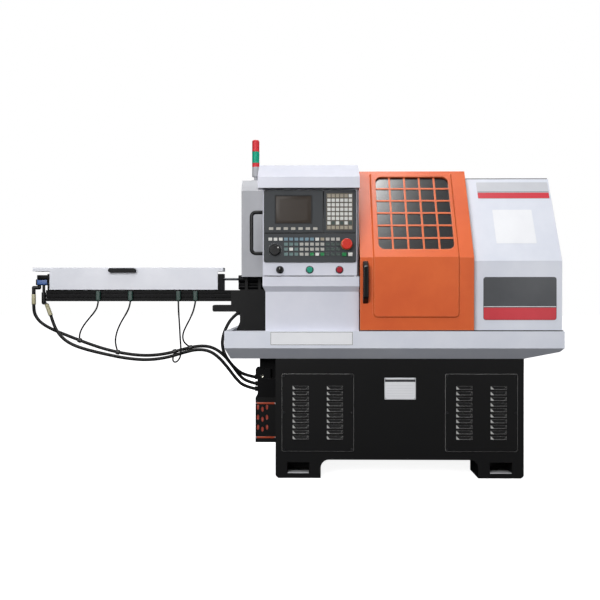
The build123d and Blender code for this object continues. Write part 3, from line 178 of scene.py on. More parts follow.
def makeBrushMarks():  # long fine marks of a grinding or drawing direction
    group, start, end = newGroup(
        "brushMarks",
        [("Along", "NodeSocketVector", (1.0, 40.0, 40.0)), ("Scale", "NodeSocketFloat", 30.0)],
        [("Height", "NodeSocketFloat"), ("Tint", "NodeSocketFloat")])
    drawn = addNode(group, "ShaderNodeVectorMath", operation="MULTIPLY")
    group.links.new(objectPlace(group), drawn.inputs[0])
    group.links.new(start.outputs["Along"], drawn.inputs[1])
    marks = noise(group, drawn.outputs[0], start.outputs["Scale"], *brushLook["marks"])
    feed(group, end.inputs["Height"], marks)
    feed(group, end.inputs["Tint"], noise(group, objectPlace(group), *brushLook["tint"]))
    return group


coatGrain = makeCoatGrain()
edgeWearAndSheen = makeEdgeWearAndSheen()
dustFall = makeDustFall()
brushMarks = makeBrushMarks()


def colour(code):
    def linear(part):
        value = int(part, 16) / 255
        return value / 12.92 if value <= 0.04045 else ((value + 0.055) / 1.055) ** 2.4
    return tuple(linear(code[i:i + 2]) for i in (0, 2, 4)) + (1.0,)


def useGroup(tree, group, **values):
    node = tree.nodes.new("ShaderNodeGroup")
    node.node_tree = group
    for key, value in values.items():
        feed(tree, node.inputs[key], value)
    return node


def mixColour(tree, amount, first, second):
    node = addNode(tree, "ShaderNodeMix", data_type="RGBA", blend_type="MIX")
    feed(tree, node.inputs["Factor"], amount)
    feed(tree, node.inputs["A"], first)
    feed(tree, node.inputs["B"], second)
    return node.outputs["Result"]


def newMaterial(name):
    material = bpy.data.materials.new(name)
    material.use_nodes = True
    return material, material.node_tree, material.node_tree.nodes["Principled BSDF"]


def roughen(tree, shader, height, normal, strength, depth):
    bump = addNode(tree, "ShaderNodeBump")
    bump.inputs["Strength"].default_value = strength
    bump.inputs["Distance"].default_value = depth
    tree.links.new(height, bump.inputs["Height"])
    tree.links.new(normal, bump.inputs["Normal"])
    tree.links.new(bump.outputs["Normal"], shader.inputs["Normal"])


# sprayed and moulded finishes: colours, gloss, grain in 1/m and its depth in m
mouldedCoat = {"grain": 1600, "depth": 0.00002, "dust": 0.03, "spec": 0.5,
               "wearAndSheen": 0.35, "edge": 0.0012, "break": 1.0}
sheetCoat = {**mouldedCoat, "grain": 650, "depth": 0.00006, "dust": 0.10}
glossCoat = {**mouldedCoat, "grain": 900, "depth": 0.00004}
handleCoat = {**mouldedCoat, "grain": 1400, "depth": 0.00003}
keyCoat = {**mouldedCoat, "grain": 1800, "rough": 0.38}
cardCoat = {**mouldedCoat, "grain": 1500, "depth": 0.00001, "rough": 0.4}
coats = {
    "whiteCoat": {**sheetCoat, "base": "DDE0E9", "cloud": "D3D7E2", "rough": 0.34},
    "housingCoat": {**sheetCoat, "base": "DBDCE6", "cloud": "D0D2DE", "rough": 0.36},
    "lidCoat": {**sheetCoat, "base": "DFE0E7", "cloud": "D5D7DF", "rough": 0.36,
                "grain": 700, "depth": 0.00005, "dust": 0.12},
    "hoodCoat": {**sheetCoat, "base": "B7B8BC", "cloud": "AAABB0", "rough": 0.42, "spec": 0.15},
    # orange coat: its edge tint is a painted highlight, pale lines along the raised bead, the window
    # bars and the door edges
    "orangeCoat": {**sheetCoat, "base": "DE6733", "cloud": "D35B2A", "rough": 0.38,
                   "grain": 620, "dust": 0.06, "spec": 0.30,
                   "wearAndSheen": 0.9, "edge": 0.004, "break": 0.1, "wornAndLit": "FFAE82"},
    "strapRed": {**glossCoat, "base": "B4492C", "cloud": "A03D24", "rough": 0.30, "dust": 0.05},
    "linerRed": {**glossCoat, "base": "C4523F", "cloud": "9E3A30", "rough": 0.30, "dust": 0.02},
    "standCoat": {**sheetCoat, "base": "101011", "cloud": "0C0C0D", "rough": 0.45,
                  "grain": 520, "depth": 0.00010, "dust": 0.12, "spec": 0.18, "wornAndLit": "5B5A57"},
    # louvre coat: its edge tint is a painted highlight along the louvre lips and panel edges, and its
    # glint colour is a painted highlight on the left-turned ends of the hoods
    "louvreCoat": {**sheetCoat, "base": "111112", "cloud": "0D0D0E", "rough": 0.45,
                   "grain": 520, "depth": 0.00004, "dust": 0.02, "spec": 0.18,
                   "wearAndSheen": 1.0, "edge": 0.003, "break": 0.2, "wornAndLit": "D2D2D0", "glint": "BCBCBA"},
    "blackAnodised": {**mouldedCoat, "base": "0C0C0E", "cloud": "09090A", "rough": 0.40,
                      "grain": 1500, "dust": 0.04, "spec": 0.10, "wornAndLit": "6A6B6E"},
    "blackPlastic": {**handleCoat, "base": "101011", "cloud": "0C0C0D", "rough": 0.28,
                     "dust": 0.02, "spec": 0.28},
    "gripBlack": {**handleCoat, "base": "0C0C0D", "cloud": "09090A", "rough": 0.42,
                  "dust": 0.01, "spec": 0.14},
    "unitFilm": {**keyCoat, "base": "3D4043", "cloud": "373A3D", "rough": 0.52, "spec": 0.30},
    "blueCoat": {**glossCoat, "base": "3F66A8", "cloud": "365995", "rough": 0.35, "dust": 0.12},
    "tealPlastic": {**handleCoat, "base": "183C33", "cloud": "13312A", "rough": 0.36, "dust": 0.05},
    "redPlastic": {**mouldedCoat, "base": "D63527", "cloud": "C22C20", "rough": 0.26},
    "greenPlastic": {**mouldedCoat, "base": "1C8C4B", "cloud": "157A3F", "rough": 0.28},
    "startGreen": {**mouldedCoat, "base": "119C7E", "cloud": "0E8A6F", "rough": 0.26},
    "stopRed": {**mouldedCoat, "base": "AC2030", "cloud": "981A29", "rough": 0.26},
    "ferruleCream": {**mouldedCoat, "base": "BDB796", "cloud": "ADA785", "rough": 0.30},
    "sillGrey": {**sheetCoat, "base": "C4C5C8", "cloud": "B6B7BA", "rough": 0.40,
                 "grain": 500, "depth": 0.00008, "dust": 0.15},
    "whitePlastic": {**mouldedCoat, "base": "E2E2DE", "cloud": "D6D6D1", "rough": 0.34},
    "motorCoat": {**sheetCoat, "base": "3A3C3F", "cloud": "2E3033", "rough": 0.45,
                  "grain": 500, "depth": 0.00010, "dust": 0.3, "wornAndLit": "77787A"},
    "castCoat": {**sheetCoat, "base": "8D9096", "cloud": "7C7F86", "rough": 0.52,
                 "grain": 300, "depth": 0.00030, "dust": 0.2},
    "hoseRubber": {**mouldedCoat, "base": "0E0E0F", "cloud": "0A0A0B", "rough": 0.42,
                   "grain": 1100, "depth": 0.00004, "dust": 0.05, "spec": 0.22},
    "nylonTie": {**handleCoat, "base": "202021", "cloud": "171718", "rough": 0.45,
                 "grain": 1300, "dust": 0.1},
    "keySoft": {**keyCoat, "base": "B7B3AB", "cloud": "A9A59C", "rough": 0.4},
    "keyWhite": {**keyCoat, "base": "DADAD6", "cloud": "CFCFCA", "rough": 0.36},
    "keyLight": {**keyCoat, "base": "B4B2AD", "cloud": "A7A59F"},
    "keyBeige": {**keyCoat, "base": "A39A88", "cloud": "958C7A"},
    "keyBlue": {**keyCoat, "base": "7591A0", "cloud": "678391"},
    "keyTeal": {**keyCoat, "base": "66807F", "cloud": "587271"},
    "keyDark": {**keyCoat, "base": "3B4A46", "cloud": "32403C"},
    "screenFrame": {**mouldedCoat, "base": "3B3B3C", "cloud": "353536", "rough": 0.6, "spec": 0.20},
    "padBacking": {**mouldedCoat, "base": "5C564C", "cloud": "524C43", "rough": 0.45},
    "stopYellow": {**mouldedCoat, "base": "E0962F", "cloud": "D08823", "rough": 0.35, "grain": 1500},
    "cardWhite": {**cardCoat, "base": "ECEDF0", "cloud": "E4E5E9"},
    "cardSilver": {**cardCoat, "base": "C9CBD0", "cloud": "BEC0C6", "rough": 0.34},
    "cardGrey": {**cardCoat, "base": "4B4D51", "cloud": "434549"},
    "cardRed": {**cardCoat, "base": "D23440", "cloud": "C42C38"},
    "cardDark": {**cardCoat, "base": "3A3B3E", "cloud": "303134", "rough": 0.42},
    "moduleCoat": {**sheetCoat, "base": "C9B98A", "cloud": "BCAB7A", "rough": 0.42,
                   "grain": 800, "depth": 0.00005, "dust": 0.2},
}
coatLook = {"cloud": 5.0, "duller": 0.07, "glossier": 0.05, "dustColour": "B9B4AA",
            "dustDulls": 0.4, "bump": 0.6, "tone": (0.3, 0.7), "gloss": (0.25, 0.75),
            "glint": (-0.3, -0.5)}


def makeCoat(name, finish):
    material, tree, shader = newMaterial(name)
    shader.inputs["Specular IOR Level"].default_value = finish["spec"]
    grain = useGroup(tree, coatGrain, Scale=float(finish["grain"]), Cloud=coatLook["cloud"])
    wornAndLit = useGroup(tree, edgeWearAndSheen, Radius=finish["edge"], Amount=finish["wearAndSheen"],
                    Break=finish["break"])
    dust = useGroup(tree, dustFall, Amount=finish["dust"])
    tone = spread(tree, grain.outputs["Cloud"], *coatLook["tone"])
    shade = mixColour(tree, tone, colour(finish["base"]), colour(finish["cloud"]))
    # edge tint: real wear on most finishes, a painted highlight on the orange and louvre coats
    edge = colour(finish.get("wornAndLit", finish["base"]))
    shade = mixColour(tree, wornAndLit.outputs["Mask"], shade, edge)
    if "glint" in finish:  # painted highlight: faces turned to the left drawn paler, as if lit from the left
        paintedGlint = spread(tree, normalParts(tree)["X"], *coatLook["glint"])
        shade = mixColour(tree, paintedGlint, shade, colour(finish["glint"]))
    shade = mixColour(tree, dust.outputs["Mask"], shade, colour(coatLook["dustColour"]))
    tree.links.new(shade, shader.inputs["Base Color"])
    gloss = spread(tree, grain.outputs["Cloud"], *coatLook["gloss"],
                   finish["rough"] - coatLook["glossier"], finish["rough"] + coatLook["duller"])
    dull = mathNode(tree, "MULTIPLY", dust.outputs["Mask"], coatLook["dustDulls"])
    tree.links.new(mathNode(tree, "ADD", gloss, dull, True), shader.inputs["Roughness"])
    roughen(tree, shader, grain.outputs["Height"], wornAndLit.outputs["Normal"], coatLook["bump"],
            finish["depth"])
    return material


# bare metals: base and tint colours, gloss, direction of the marks
metals = {
    "groundSteel": {"base": "B8BABD", "tint": "9B9DA1", "rough": 0.26, "along": (2.0, 40.0, 40.0)},
    "darkSteel": {"base": "55575A", "tint": "434548", "rough": 0.36, "along": (40.0, 40.0, 2.0)},
    "screwBlack": {"base": "2B2C2E", "tint": "1F2022", "rough": 0.34, "along": (20.0, 20.0, 20.0)},
    "platedFitting": {"base": "C9C8BE", "tint": "ABA99C", "rough": 0.22,
                      "along": (20.0, 20.0, 20.0)},
}
metalLook = {"marks": 30.0, "edge": 0.0008, "wearAndSheen": 0.6, "wornAndLit": "DADBDD",
             "glossier": 0.06, "duller": 0.1, "bump": 0.5, "depth": 0.00003,
             "tone": (0.3, 0.7), "gloss": (0.25, 0.75)}


def makeMetal(name, finish):
    material, tree, shader = newMaterial(name)
    shader.inputs["Metallic"].default_value = 1.0
    marks = useGroup(tree, brushMarks, Along=finish["along"], Scale=metalLook["marks"])
    wornAndLit = useGroup(tree, edgeWearAndSheen, Radius=metalLook["edge"], Amount=metalLook["wearAndSheen"])
    tone = spread(tree, marks.outputs["Tint"], *metalLook["tone"])
    shade = mixColour(tree, tone, colour(finish["base"]), colour(finish["tint"]))
    shade = mixColour(tree, wornAndLit.outputs["Mask"], shade, colour(metalLook["wornAndLit"]))
    tree.links.new(shade, shader.inputs["Base Color"])
    gloss = spread(tree, marks.outputs["Height"], *metalLook["gloss"],
                   finish["rough"] - metalLook["glossier"], finish["rough"] + metalLook["duller"])
    tree.links.new(gloss, shader.inputs["Roughness"])
    roughen(tree, shader, marks.outputs["Height"], wornAndLit.outputs["Normal"], metalLook["bump"],
            metalLook["depth"])
    return material


# clear and tinted glazing
glazings = {
    "windowGlass": {"base": "121213", "cloud": "0E0E0F", "rough": 0.19, "pass": 0.0,
                    "spec": 0.45, "coat": 0.3},
    "greenLens": {"base": "0AA986", "cloud": "099274", "rough": 0.40, "pass": 0.15,
                  "spec": 0.15, "coat": 0.04},
    "redLens": {"base": "E33A42", "cloud": "CC2E36", "rough": 0.40, "pass": 0.15,
                "spec": 0.15, "coat": 0.04},
    "screenGlass": {"base": "3E362F", "cloud": "372F29", "rough": 0.38, "pass": 0.0,
                    "spec": 0.25, "coat": 0.0},
}
glazingLook = {"grain": 60.0, "cloud": 3.0, "duller": 0.05,
               "smear": (0.35, 0.7), "gloss": (0.3, 0.75)}


def makeGlazing(name, finish):
    material, tree, shader = newMaterial(name)
    shader.inputs["Transmission Weight"].default_value = finish["pass"]
    shader.inputs["Specular IOR Level"].default_value = finish["spec"]
    shader.inputs["Coat Weight"].default_value = finish["coat"]
    shader.inputs["Coat Roughness"].default_value = finish["rough"]
    grain = useGroup(tree, coatGrain, Scale=glazingLook["grain"], Cloud=glazingLook["cloud"])
    smear = spread(tree, grain.outputs["Cloud"], *glazingLook["smear"])
    shade = mixColour(tree, smear, colour(finish["base"]), colour(finish["cloud"]))
    tree.links.new(shade, shader.inputs["Base Color"])
    gloss = spread(tree, grain.outputs["Cloud"], *glazingLook["gloss"],
                   finish["rough"], finish["rough"] + glazingLook["duller"])
    tree.links.new(gloss, shader.inputs["Roughness"])
    return material


finishes = {name: makeCoat(name, finish) for name, finish in coats.items()}
finishes.update({name: makeMetal(name, finish) for name, finish in metals.items()})
finishes.update({name: makeGlazing(name, finish) for name, finish in glazings.items()})
print("finishes made:", len(finishes))

nodeFinish = {
    "whiteCoat": ("chip_tray", "right_cover", "work_enclosure"),
    "housingCoat": ("control_housing", "panel_door"),
    "lidCoat": ("feeder_lid",),
    "hoodCoat": ("spindle_hood", "light_pole"),
    "orangeCoat": ("sliding_door",),
    "standCoat": ("stand", "feeder_post", "side_vent_box"),
    "louvreCoat": ("louvre_panels",),
    "blackAnodised": ("feeder_beam", "feeder_trough", "feeder_drive", "guide_tubes", "valve_block"),
    "gripBlack": ("lid_handle",),
    "blackPlastic": ("panel_handle", "door_handle", "override_knob", "key_switch", "door_glides",
                     "feeder_fittings"),
    "unitFilm": ("cnc_unit", "panel_keys"),
    "redPlastic": ("estop_button",),
    "stopRed": ("stop_button",),
    "greenPlastic": ("cycle_start_key",),
    "startGreen": ("start_button",),
    "whitePlastic": ("feed_hold_key",),
    "tealPlastic": ("beam_sensors",),
    "motorCoat": ("main_motor", "servo_motor", "coolant_tank", "drive_belt"),
    "castCoat": ("bed", "headstock", "carriage", "cross_slide"),
    "moduleCoat": ("drive_modules",),
    "nylonTie": ("hose_ties",),
    "groundSteel": ("spindle", "gang_tools"),
    # the door rails take dark steel: partly their own colour, partly painted shade for the dark line
    # under the door
    "darkSteel": ("collet_chuck", "spindle_pulley", "motor_pulley", "door_rails", "push_rod"),
    "windowGlass": ("door_window",),
    "greenLens": ("light_green",),
    "redLens": ("light_red",),
}


def dressNodes():
    for finish, names in nodeFinish.items():
        for name in names:
            mesh = nodes[name].data
            mesh.materials.clear()
            mesh.materials.append(finishes[finish])


dressNodes()
print("nodes dressed")

# hoses and cables, routes in millimetres as in the part's source
hose = {"diameter": 0.016, "sides": 5, "steps": 10}
cable = {"diameter": 0.008, "sides": 4, "steps": 10}
routes = {
    "air_hose_left": (hose, 1.278, "medium", (
        (-1795, -196, 810), (-1795, -196, 778), (-1783, -195, 747), (-1757, -194, 717),
        (-1704, -193, 686), (-1608, -192, 648), (-1526, -190, 616), (-1428, -190, 584),
        (-1326, -190, 563), (-1228, -190, 555), (-1134, -190, 565), (-1050, -190, 588),
        (-976, -190, 605), (-912, -190, 602), (-857, -190, 570), (-812, -190, 518),
        (-776, -190, 466), (-740, -190, 430), (-690, -190, 418))),
    "air_hose_right": (hose, 1.184, "medium", (
        (-1706, -208, 756), (-1693, -209, 716), (-1674, -210, 676), (-1642, -211, 639),
        (-1598, -212, 611), (-1535, -213, 589), (-1435, -214, 565), (-1332, -214, 544),
        (-1226, -214, 535), (-1129, -214, 547), (-1045, -214, 573), (-980, -214, 589),
        (-921, -214, 584), (-872, -214, 553), (-827, -214, 501), (-786, -215, 446),
        (-746, -216, 407), (-690, -216, 395))),
    "air_hose_post": (hose, 0.420, "medium", (
        (-777, -226, 766), (-806, -227, 742), (-828, -230, 706), (-845, -233, 664),
        (-852, -236, 618), (-842, -238, 573), (-819, -236, 533), (-786, -231, 495),
        (-744, -227, 464), (-690, -226, 454))),
    "sensor_cable_1": (cable, 0.232, "medium", (
        (-1463, -235, 826), (-1466, -235, 800), (-1484, -232, 771), (-1512, -224, 741),
        (-1540, -214, 709), (-1560, -204, 677), (-1568, -195, 650), (-1567, -191, 632))),
    "sensor_cable_2": (cable, 0.277, "medium", (
        (-1304, -235, 826), (-1308, -235, 800), (-1325, -231, 766), (-1352, -222, 726),
        (-1374, -210, 684), (-1387, -199, 642), (-1387, -192, 606), (-1377, -190, 574))),
    "sensor_cable_3": (cable, 0.389, "limp", (
        (-1067, -235, 826), (-1066, -236, 776), (-1061, -238, 716), (-1058, -240, 657),
        (-1054, -241, 604), (-1054, -240, 560), (-1068, -235, 533), (-1090, -218, 523),
        (-1104, -199, 540), (-1092, -191, 577))),
    "sensor_cable_4": (cable, 0.264, "medium", (
        (-983, -235, 826), (-988, -235, 792), (-1008, -230, 744), (-1033, -220, 701),
        (-1050, -207, 664), (-1050, -197, 632), (-1035, -191, 611), (-1013, -190, 597))),
}


def layHose(name, kind, route):
    curve = bpy.data.curves.new(name + "_line", "CURVE")
    curve.dimensions = "3D"
    line = curve.splines.new("NURBS")
    line.points.add(len(route) - 1)
    for point, place in zip(line.points, route):
        point.co = (place[0] / 1000, place[1] / 1000, place[2] / 1000, 1)
    line.order_u = 3
    line.use_endpoint_u = True
    line.resolution_u = kind["steps"]
    curve.bevel_depth = kind["diameter"] / 2
    curve.bevel_resolution = kind["sides"]
    curve.use_fill_caps = True
    curve.materials.append(finishes["hoseRubber"])
    piece = bpy.data.objects.new(name + "_run", curve)
    scene.collection.objects.link(piece)
    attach(piece, "machine")
    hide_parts(name)


for name, (kind, length, stiffness, route) in routes.items():
    layHose(name, kind, route)
print("hoses laid:", len(routes))

# hand tools for the added pieces
facing = 0.9  # how far a normal must turn to count as facing that way
alike = 0.0001  # depths closer than this are the same
smoothAngle = 35  # folds sharper than this stay crisp


def freshStart():
    if bpy.context.object and bpy.context.object.mode != "OBJECT":
        bpy.ops.object.mode_set(mode="OBJECT")
    bpy.ops.object.select_all(action="DESELECT")


def settle(piece, name):
    piece.name = name
    bpy.ops.object.transform_apply(location=True, rotation=True, scale=True)
    return piece


def addBlock(name, low, high):
    freshStart()
    size = Vector(high) - Vector(low)
    bpy.ops.mesh.primitive_cube_add(size=1, location=(Vector(low) + Vector(high)) / 2)
    bpy.context.object.scale = size
    return settle(bpy.context.object, name)


def addRod(name, middle, radius, depth, turn=(pi / 2, 0, 0), sides=48):
    freshStart()
    bpy.ops.mesh.primitive_cylinder_add(
        vertices=sides, radius=radius, depth=depth, location=middle, rotation=turn)
    return settle(bpy.context.object, name)


def openEdit(piece, kind="FACE"):
    freshStart()
    piece.select_set(True)
    bpy.context.view_layer.objects.active = piece
    bpy.ops.object.mode_set(mode="EDIT")
    bpy.ops.mesh.select_mode(type=kind)
    bpy.ops.mesh.select_all(action="DESELECT")


def closeEdit():
    bpy.ops.object.mode_set(mode="OBJECT")


def pick(piece, test, kind="FACE"):
    shell = bmesh.from_edit_mesh(piece.data)
    for item in shell.faces if kind == "FACE" else shell.edges:
        item.select_set(bool(test(item)))
    bmesh.update_edit_mesh(piece.data)


def frontFace(face):
    return face.normal.y < -facing


def topFace(face):
    return face.normal.z > facing


def roundFace(face):
    return len(face.verts) > 4


def bothFaces(face):  # front and back
    return abs(face.normal.y) > facing


def insetFaces(piece, test, lip, sink=0.0, push=0.0):
    openEdit(piece)
    pick(piece, test)
    bpy.ops.mesh.inset(thickness=lip, depth=sink)
    if push:
        bpy.ops.transform.translate(value=(0, push, 0))
    closeEdit()


def sinkWell(piece, lip, deep):  # straight-sided hollow in the front face
    openEdit(piece)
    pick(piece, frontFace)
    bpy.ops.mesh.inset(thickness=lip, depth=0)
    bpy.ops.mesh.extrude_region_move(TRANSFORM_OT_translate={"value": (0, deep, 0)})
    closeEdit()


def cutThrough(piece, lip):  # leaves a ring of that width
    openEdit(piece)
    pick(piece, bothFaces)
    bpy.ops.mesh.inset(thickness=lip, depth=0)
    bpy.ops.mesh.bridge_edge_loops()
    closeEdit()


def roundCorners(piece, radius, steps):  # edges that run from front to back
    openEdit(piece, "EDGE")
    pick(piece, lambda edge: abs(edge.verts[0].co.y - edge.verts[1].co.y) > alike, "EDGE")
    bpy.ops.mesh.bevel(offset=radius, segments=steps)
    closeEdit()


def roundEdges(piece, width, steps=2, angle=40):
    freshStart()
    piece.select_set(True)
    bpy.context.view_layer.objects.active = piece
    cut = piece.modifiers.new("edge_round", "BEVEL")
    cut.width = width
    cut.segments = steps
    cut.limit_method = "ANGLE"
    cut.angle_limit = radians(angle)
    bpy.ops.object.modifier_apply(modifier=cut.name)
    bpy.ops.object.shade_smooth_by_angle(angle=radians(smoothAngle))


def copyRow(piece, moves, name):
    copies = []
    for move in moves:
        copy = piece.copy()
        copy.data = piece.data.copy()
        copy.data.transform(move if isinstance(move, Matrix) else Matrix.Translation(move))
        scene.collection.objects.link(copy)
        copies.append(copy)
    freshStart()
    for copy in copies:
        copy.select_set(True)
    bpy.context.view_layer.objects.active = copies[0]
    if len(copies) > 1:
        bpy.ops.object.join()
    copies[0].name = name
    return copies[0]


def discard(piece):
    mesh = piece.data
    bpy.data.objects.remove(piece)
    bpy.data.meshes.remove(mesh)


def handOver(piece, body, finish, replaced=()):
    piece.data.materials.clear()
    piece.data.materials.append(finishes[finish])
    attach(piece, body)
    if replaced:
        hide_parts(*replaced)


# keys of the control unit, sizes in millimetres from its upper left corner
keyboard = {
    "corner": (-0.6305, 1.340), "face": -0.503,
    "rise": 0.003, "lip": 0.0022, "dish": 0.0006, "round": 0.0009,
    "soft": {"size": (20, 12), "start": (33.5, 177.5), "pitch": (33.8, 0), "rows": ("sssssss",)},
    "pad": {"size": (15, 15), "start": (299, 27), "pitch": (19.6, 20.8), "rows": (
        "bbbbbw", "wwwwww", "wwwwww", "wwwwww", "wwwwww", "wwwwww", "wdwdwd", "bbbbbb")},
    "lower": {"size": (17, 14), "start": (30, 226), "pitch": (23.9, 23), "rows": (
        "wwwuuuuuuwblll", "   tttlllllggg", "   twtlllllggg", "   tttllvwvggg")},
    "finish": {"s": "keySoft", "w": "keyWhite", "b": "keyBeige", "u": "keyBlue", "t": "keyTeal",
               "l": "keyLight", "g": "keyDark", "d": "keyDark", "v": "greenPlastic"},
}


def unitPlace(x, y):
    return keyboard["corner"][0] + x / 1000, keyboard["corner"][1] - y / 1000


def unitBox(box, front, back):  # block on the unit's face, from its place and size
    x, y, width, height = box
    left, top = unitPlace(x, y)
    right, low = unitPlace(x + width, y + height)
    face = keyboard["face"]
    return (left, face + front, low), (right, face + back, top)


def moldKeyCap(width, height):
    face = keyboard["face"]
    cap = addBlock("key_cap", (-width / 2, face - keyboard["rise"], -height / 2),
                   (width / 2, face, height / 2))
    insetFaces(cap, frontFace, keyboard["lip"], push=keyboard["dish"])
    roundEdges(cap, keyboard["round"])
    return cap


def fitKeys():
    for block in ("soft", "pad", "lower"):
        spec = keyboard[block]
        spots = {}
        for row, line in enumerate(spec["rows"]):
            for column, mark in enumerate(line):
                if mark != " ":
                    x, z = unitPlace(spec["start"][0] + column * spec["pitch"][0],
                                     spec["start"][1] + row * spec["pitch"][1])
                    spots.setdefault(mark, []).append(Vector((x, 0, z)))
        width, height = spec["size"]
        cap = moldKeyCap(width / 1000, height / 1000)
        for mark, places in spots.items():
            keys = copyRow(cap, places, "keys_" + block + "_" + mark)
            handOver(keys, "panel", keyboard["finish"][mark], ("panel_keys",))
        discard(cap)


fitKeys()
print("keys fitted")

# screen, key backing, seams and dial marks of the control unit
screen = {"box": (50, 23, 173, 134), "gap": 0.0004, "front": -0.0004, "back": 0.0039,
          "frame": 0.0045, "well": 0.0024, "frameRound": 0.0008,
          "glassGap": 0.0006, "glassFront": 0.0006, "glassBack": 0.0019,
          "crownIn": 0.02, "crown": 0.0006, "glassRound": 0.0005, "glassAngle": 60}
padPlate = {"box": (287, 15, 122, 170), "front": -0.0007, "back": 0.0002,
            "corner": 0.003, "cornerSteps": 4, "round": 0.0002}
seams = {"boxes": ((4, 196, 416, 4.4), (271, 5, 4.4, 191)), "rise": 0.0006, "back": 0.0002,
         "lip": 0.0005, "round": 0.0001}
dial = {"at": (51, 275.5), "radius": 0.0292, "ticks": 21, "sweep": 260, "tick": (0.0007, 0.0030),
        "rise": 0.0003, "lip": 0.0001, "sink": 0.00005, "every": 5, "wider": 1.4}


def shrink(box, edge):
    (left, front, low), (right, back, top) = box
    return (left + edge, front, low + edge), (right - edge, back, top - edge)


def fitScreen():
    box = unitBox(screen["box"], screen["front"], screen["back"])
    bezel = addBlock("screen_frame", *shrink(box, screen["gap"]))
    sinkWell(bezel, screen["frame"], screen["well"])
    roundEdges(bezel, screen["frameRound"])
    handOver(bezel, "panel", "screenFrame")
    box = unitBox(screen["box"], screen["glassFront"], screen["glassBack"])
    inner = screen["frame"] + screen["gap"] + screen["glassGap"]
    glass = addBlock("screen_glass", *shrink(box, inner))
    insetFaces(glass, frontFace, screen["crownIn"], push=-screen["crown"])  # crown of the tube face
    roundEdges(glass, screen["glassRound"], angle=screen["glassAngle"])
    handOver(glass, "panel", "screenGlass")


def fitPadPlate():
    plate = addBlock("pad_plate", *unitBox(padPlate["box"], padPlate["front"], padPlate["back"]))
    roundCorners(plate, padPlate["corner"], padPlate["cornerSteps"])
    roundEdges(plate, padPlate["round"], 1)
    handOver(plate, "panel", "padBacking")


def fitSeams():  # joints between screen, key pad and lower plate
    for number, box in enumerate(seams["boxes"], 1):
        seam = addBlock("unit_seam_%d" % number, *unitBox(box, -seams["rise"], seams["back"]))
        insetFaces(seam, frontFace, seams["lip"], push=seams["rise"] / 2)
        roundEdges(seam, seams["round"], 1)
        handOver(seam, "panel", "blackPlastic")


def fitDialMarks():
    x, z = unitPlace(*dial["at"])
    wide, tall = dial["tick"]
    face, radius = keyboard["face"], dial["radius"]
    tick = addBlock("dial_tick", (-wide / 2, face - dial["rise"], radius),
                    (wide / 2, face, radius + tall))
    insetFaces(tick, frontFace, dial["lip"], dial["sink"])
    turns = []
    for step in range(dial["ticks"]):
        angle = radians(dial["sweep"]) * (step / (dial["ticks"] - 1) - 0.5)
        wider = dial["wider"] if step % dial["every"] == 0 else 1.0
        turns.append(Matrix.Translation((x, 0, z)) @ Matrix.Rotation(angle, 4, "Y")
                     @ Matrix.Diagonal((wider, 1, 1, 1)))
    marks = copyRow(tick, turns, "dial_marks")
    discard(tick)
    handOver(marks, "panel", "keyWhite")


fitScreen()
fitPadPlate()
fitSeams()
fitDialMarks()
print("control unit trimmed")

# collars round the push buttons and the emergency stop
collars = {
    "buttons": {"places": ((-0.557, 0.974), (-0.420, 0.974), (-0.283, 0.974)), "face": -0.495,
                "rise": 0.0046, "outer": 0.0176, "inner": 0.0146,
                "finish": "screwBlack", "slot": "plated_fitting"},
    "stop": {"places": ((-0.2505, 1.091),), "face": -0.503,
             "rise": 0.0036, "outer": 0.0262, "inner": 0.0130,
             "finish": "stopYellow", "slot": "red_plastic"},
}
collarTurning = {"sides": 64, "round": 0.0009, "steps": 3}


def fitCollars():
    for name, spec in collars.items():
        middle = (0, spec["face"] - spec["rise"] / 2, 0)
        ring = addRod("collar", middle, spec["outer"], spec["rise"], sides=collarTurning["sides"])
        cutThrough(ring, spec["outer"] - spec["inner"])
        roundEdges(ring, collarTurning["round"], collarTurning["steps"])
        places = [Vector((x, 0, z)) for x, z in spec["places"]]
        rings = copyRow(ring, places, "collars_" + name)
        discard(ring)
        handOver(rings, "panel", spec["finish"])


fitCollars()
print("collars fitted")

# bare cards and plates, flat pieces set on the sheet metal
leanFoot = Vector((0, -0.470, 1.016))  # fold of the right cover
leanTurn = Matrix.Rotation(radians(-30), 4, "X")
cards = {
    "cover_plate": {"size": (0.337, 0.199), "at": (0.5505, -0.470, 0.8415), "thick": 0.0016,
                    "corner": 0.012, "finish": "cardGrey",
                    "band": ("cardRed", -0.0995, -0.042), "line": "cardWhite"},
    "name_strip": {"size": (0.346, 0.098), "at": (0.5650, 0.403), "thick": 0.0014,
                   "corner": 0.004, "finish": "cardSilver",
                   "band": ("cardRed", -0.049, -0.014), "line": "cardDark"},
    "square_card": {"size": (0.187, 0.192), "at": (0.5470, 0.192), "thick": 0.0006,
                    "corner": 0.003, "finish": "cardWhite"},
    "tray_card": {"size": (0.380, 0.062), "at": (-0.4110, -0.500, 0.6580), "thick": 0.0006,
                  "corner": 0.003, "finish": "cardWhite", "rim": "cardDark"},
    "data_card": {"size": (0.146, 0.102), "at": (0.0030, -0.430, 0.4200), "thick": 0.0012,
                  "corner": 0.004, "finish": "cardWhite",
                  "band": ("cardDark", 0.030, 0.043), "rim": "cardSilver",
                  "rules": (-0.034, -0.022, -0.010, 0.002, 0.014)},
}
cardPrint = {"film": 0.00025, "inset": 0.003, "tighter": 0.001, "cornerSteps": 6,
             "line": (0.003, 0.006), "rim": 0.0016,
             "ruleShare": 0.43, "ruleHalf": 0.0004, "ruleLip": 0.0001}


def cutCard(name, width, height, thick, corner):
    card = addBlock(name, (-width / 2, -thick, -height / 2), (width / 2, 0, height / 2))
    roundCorners(card, corner, cardPrint["cornerSteps"])
    return card


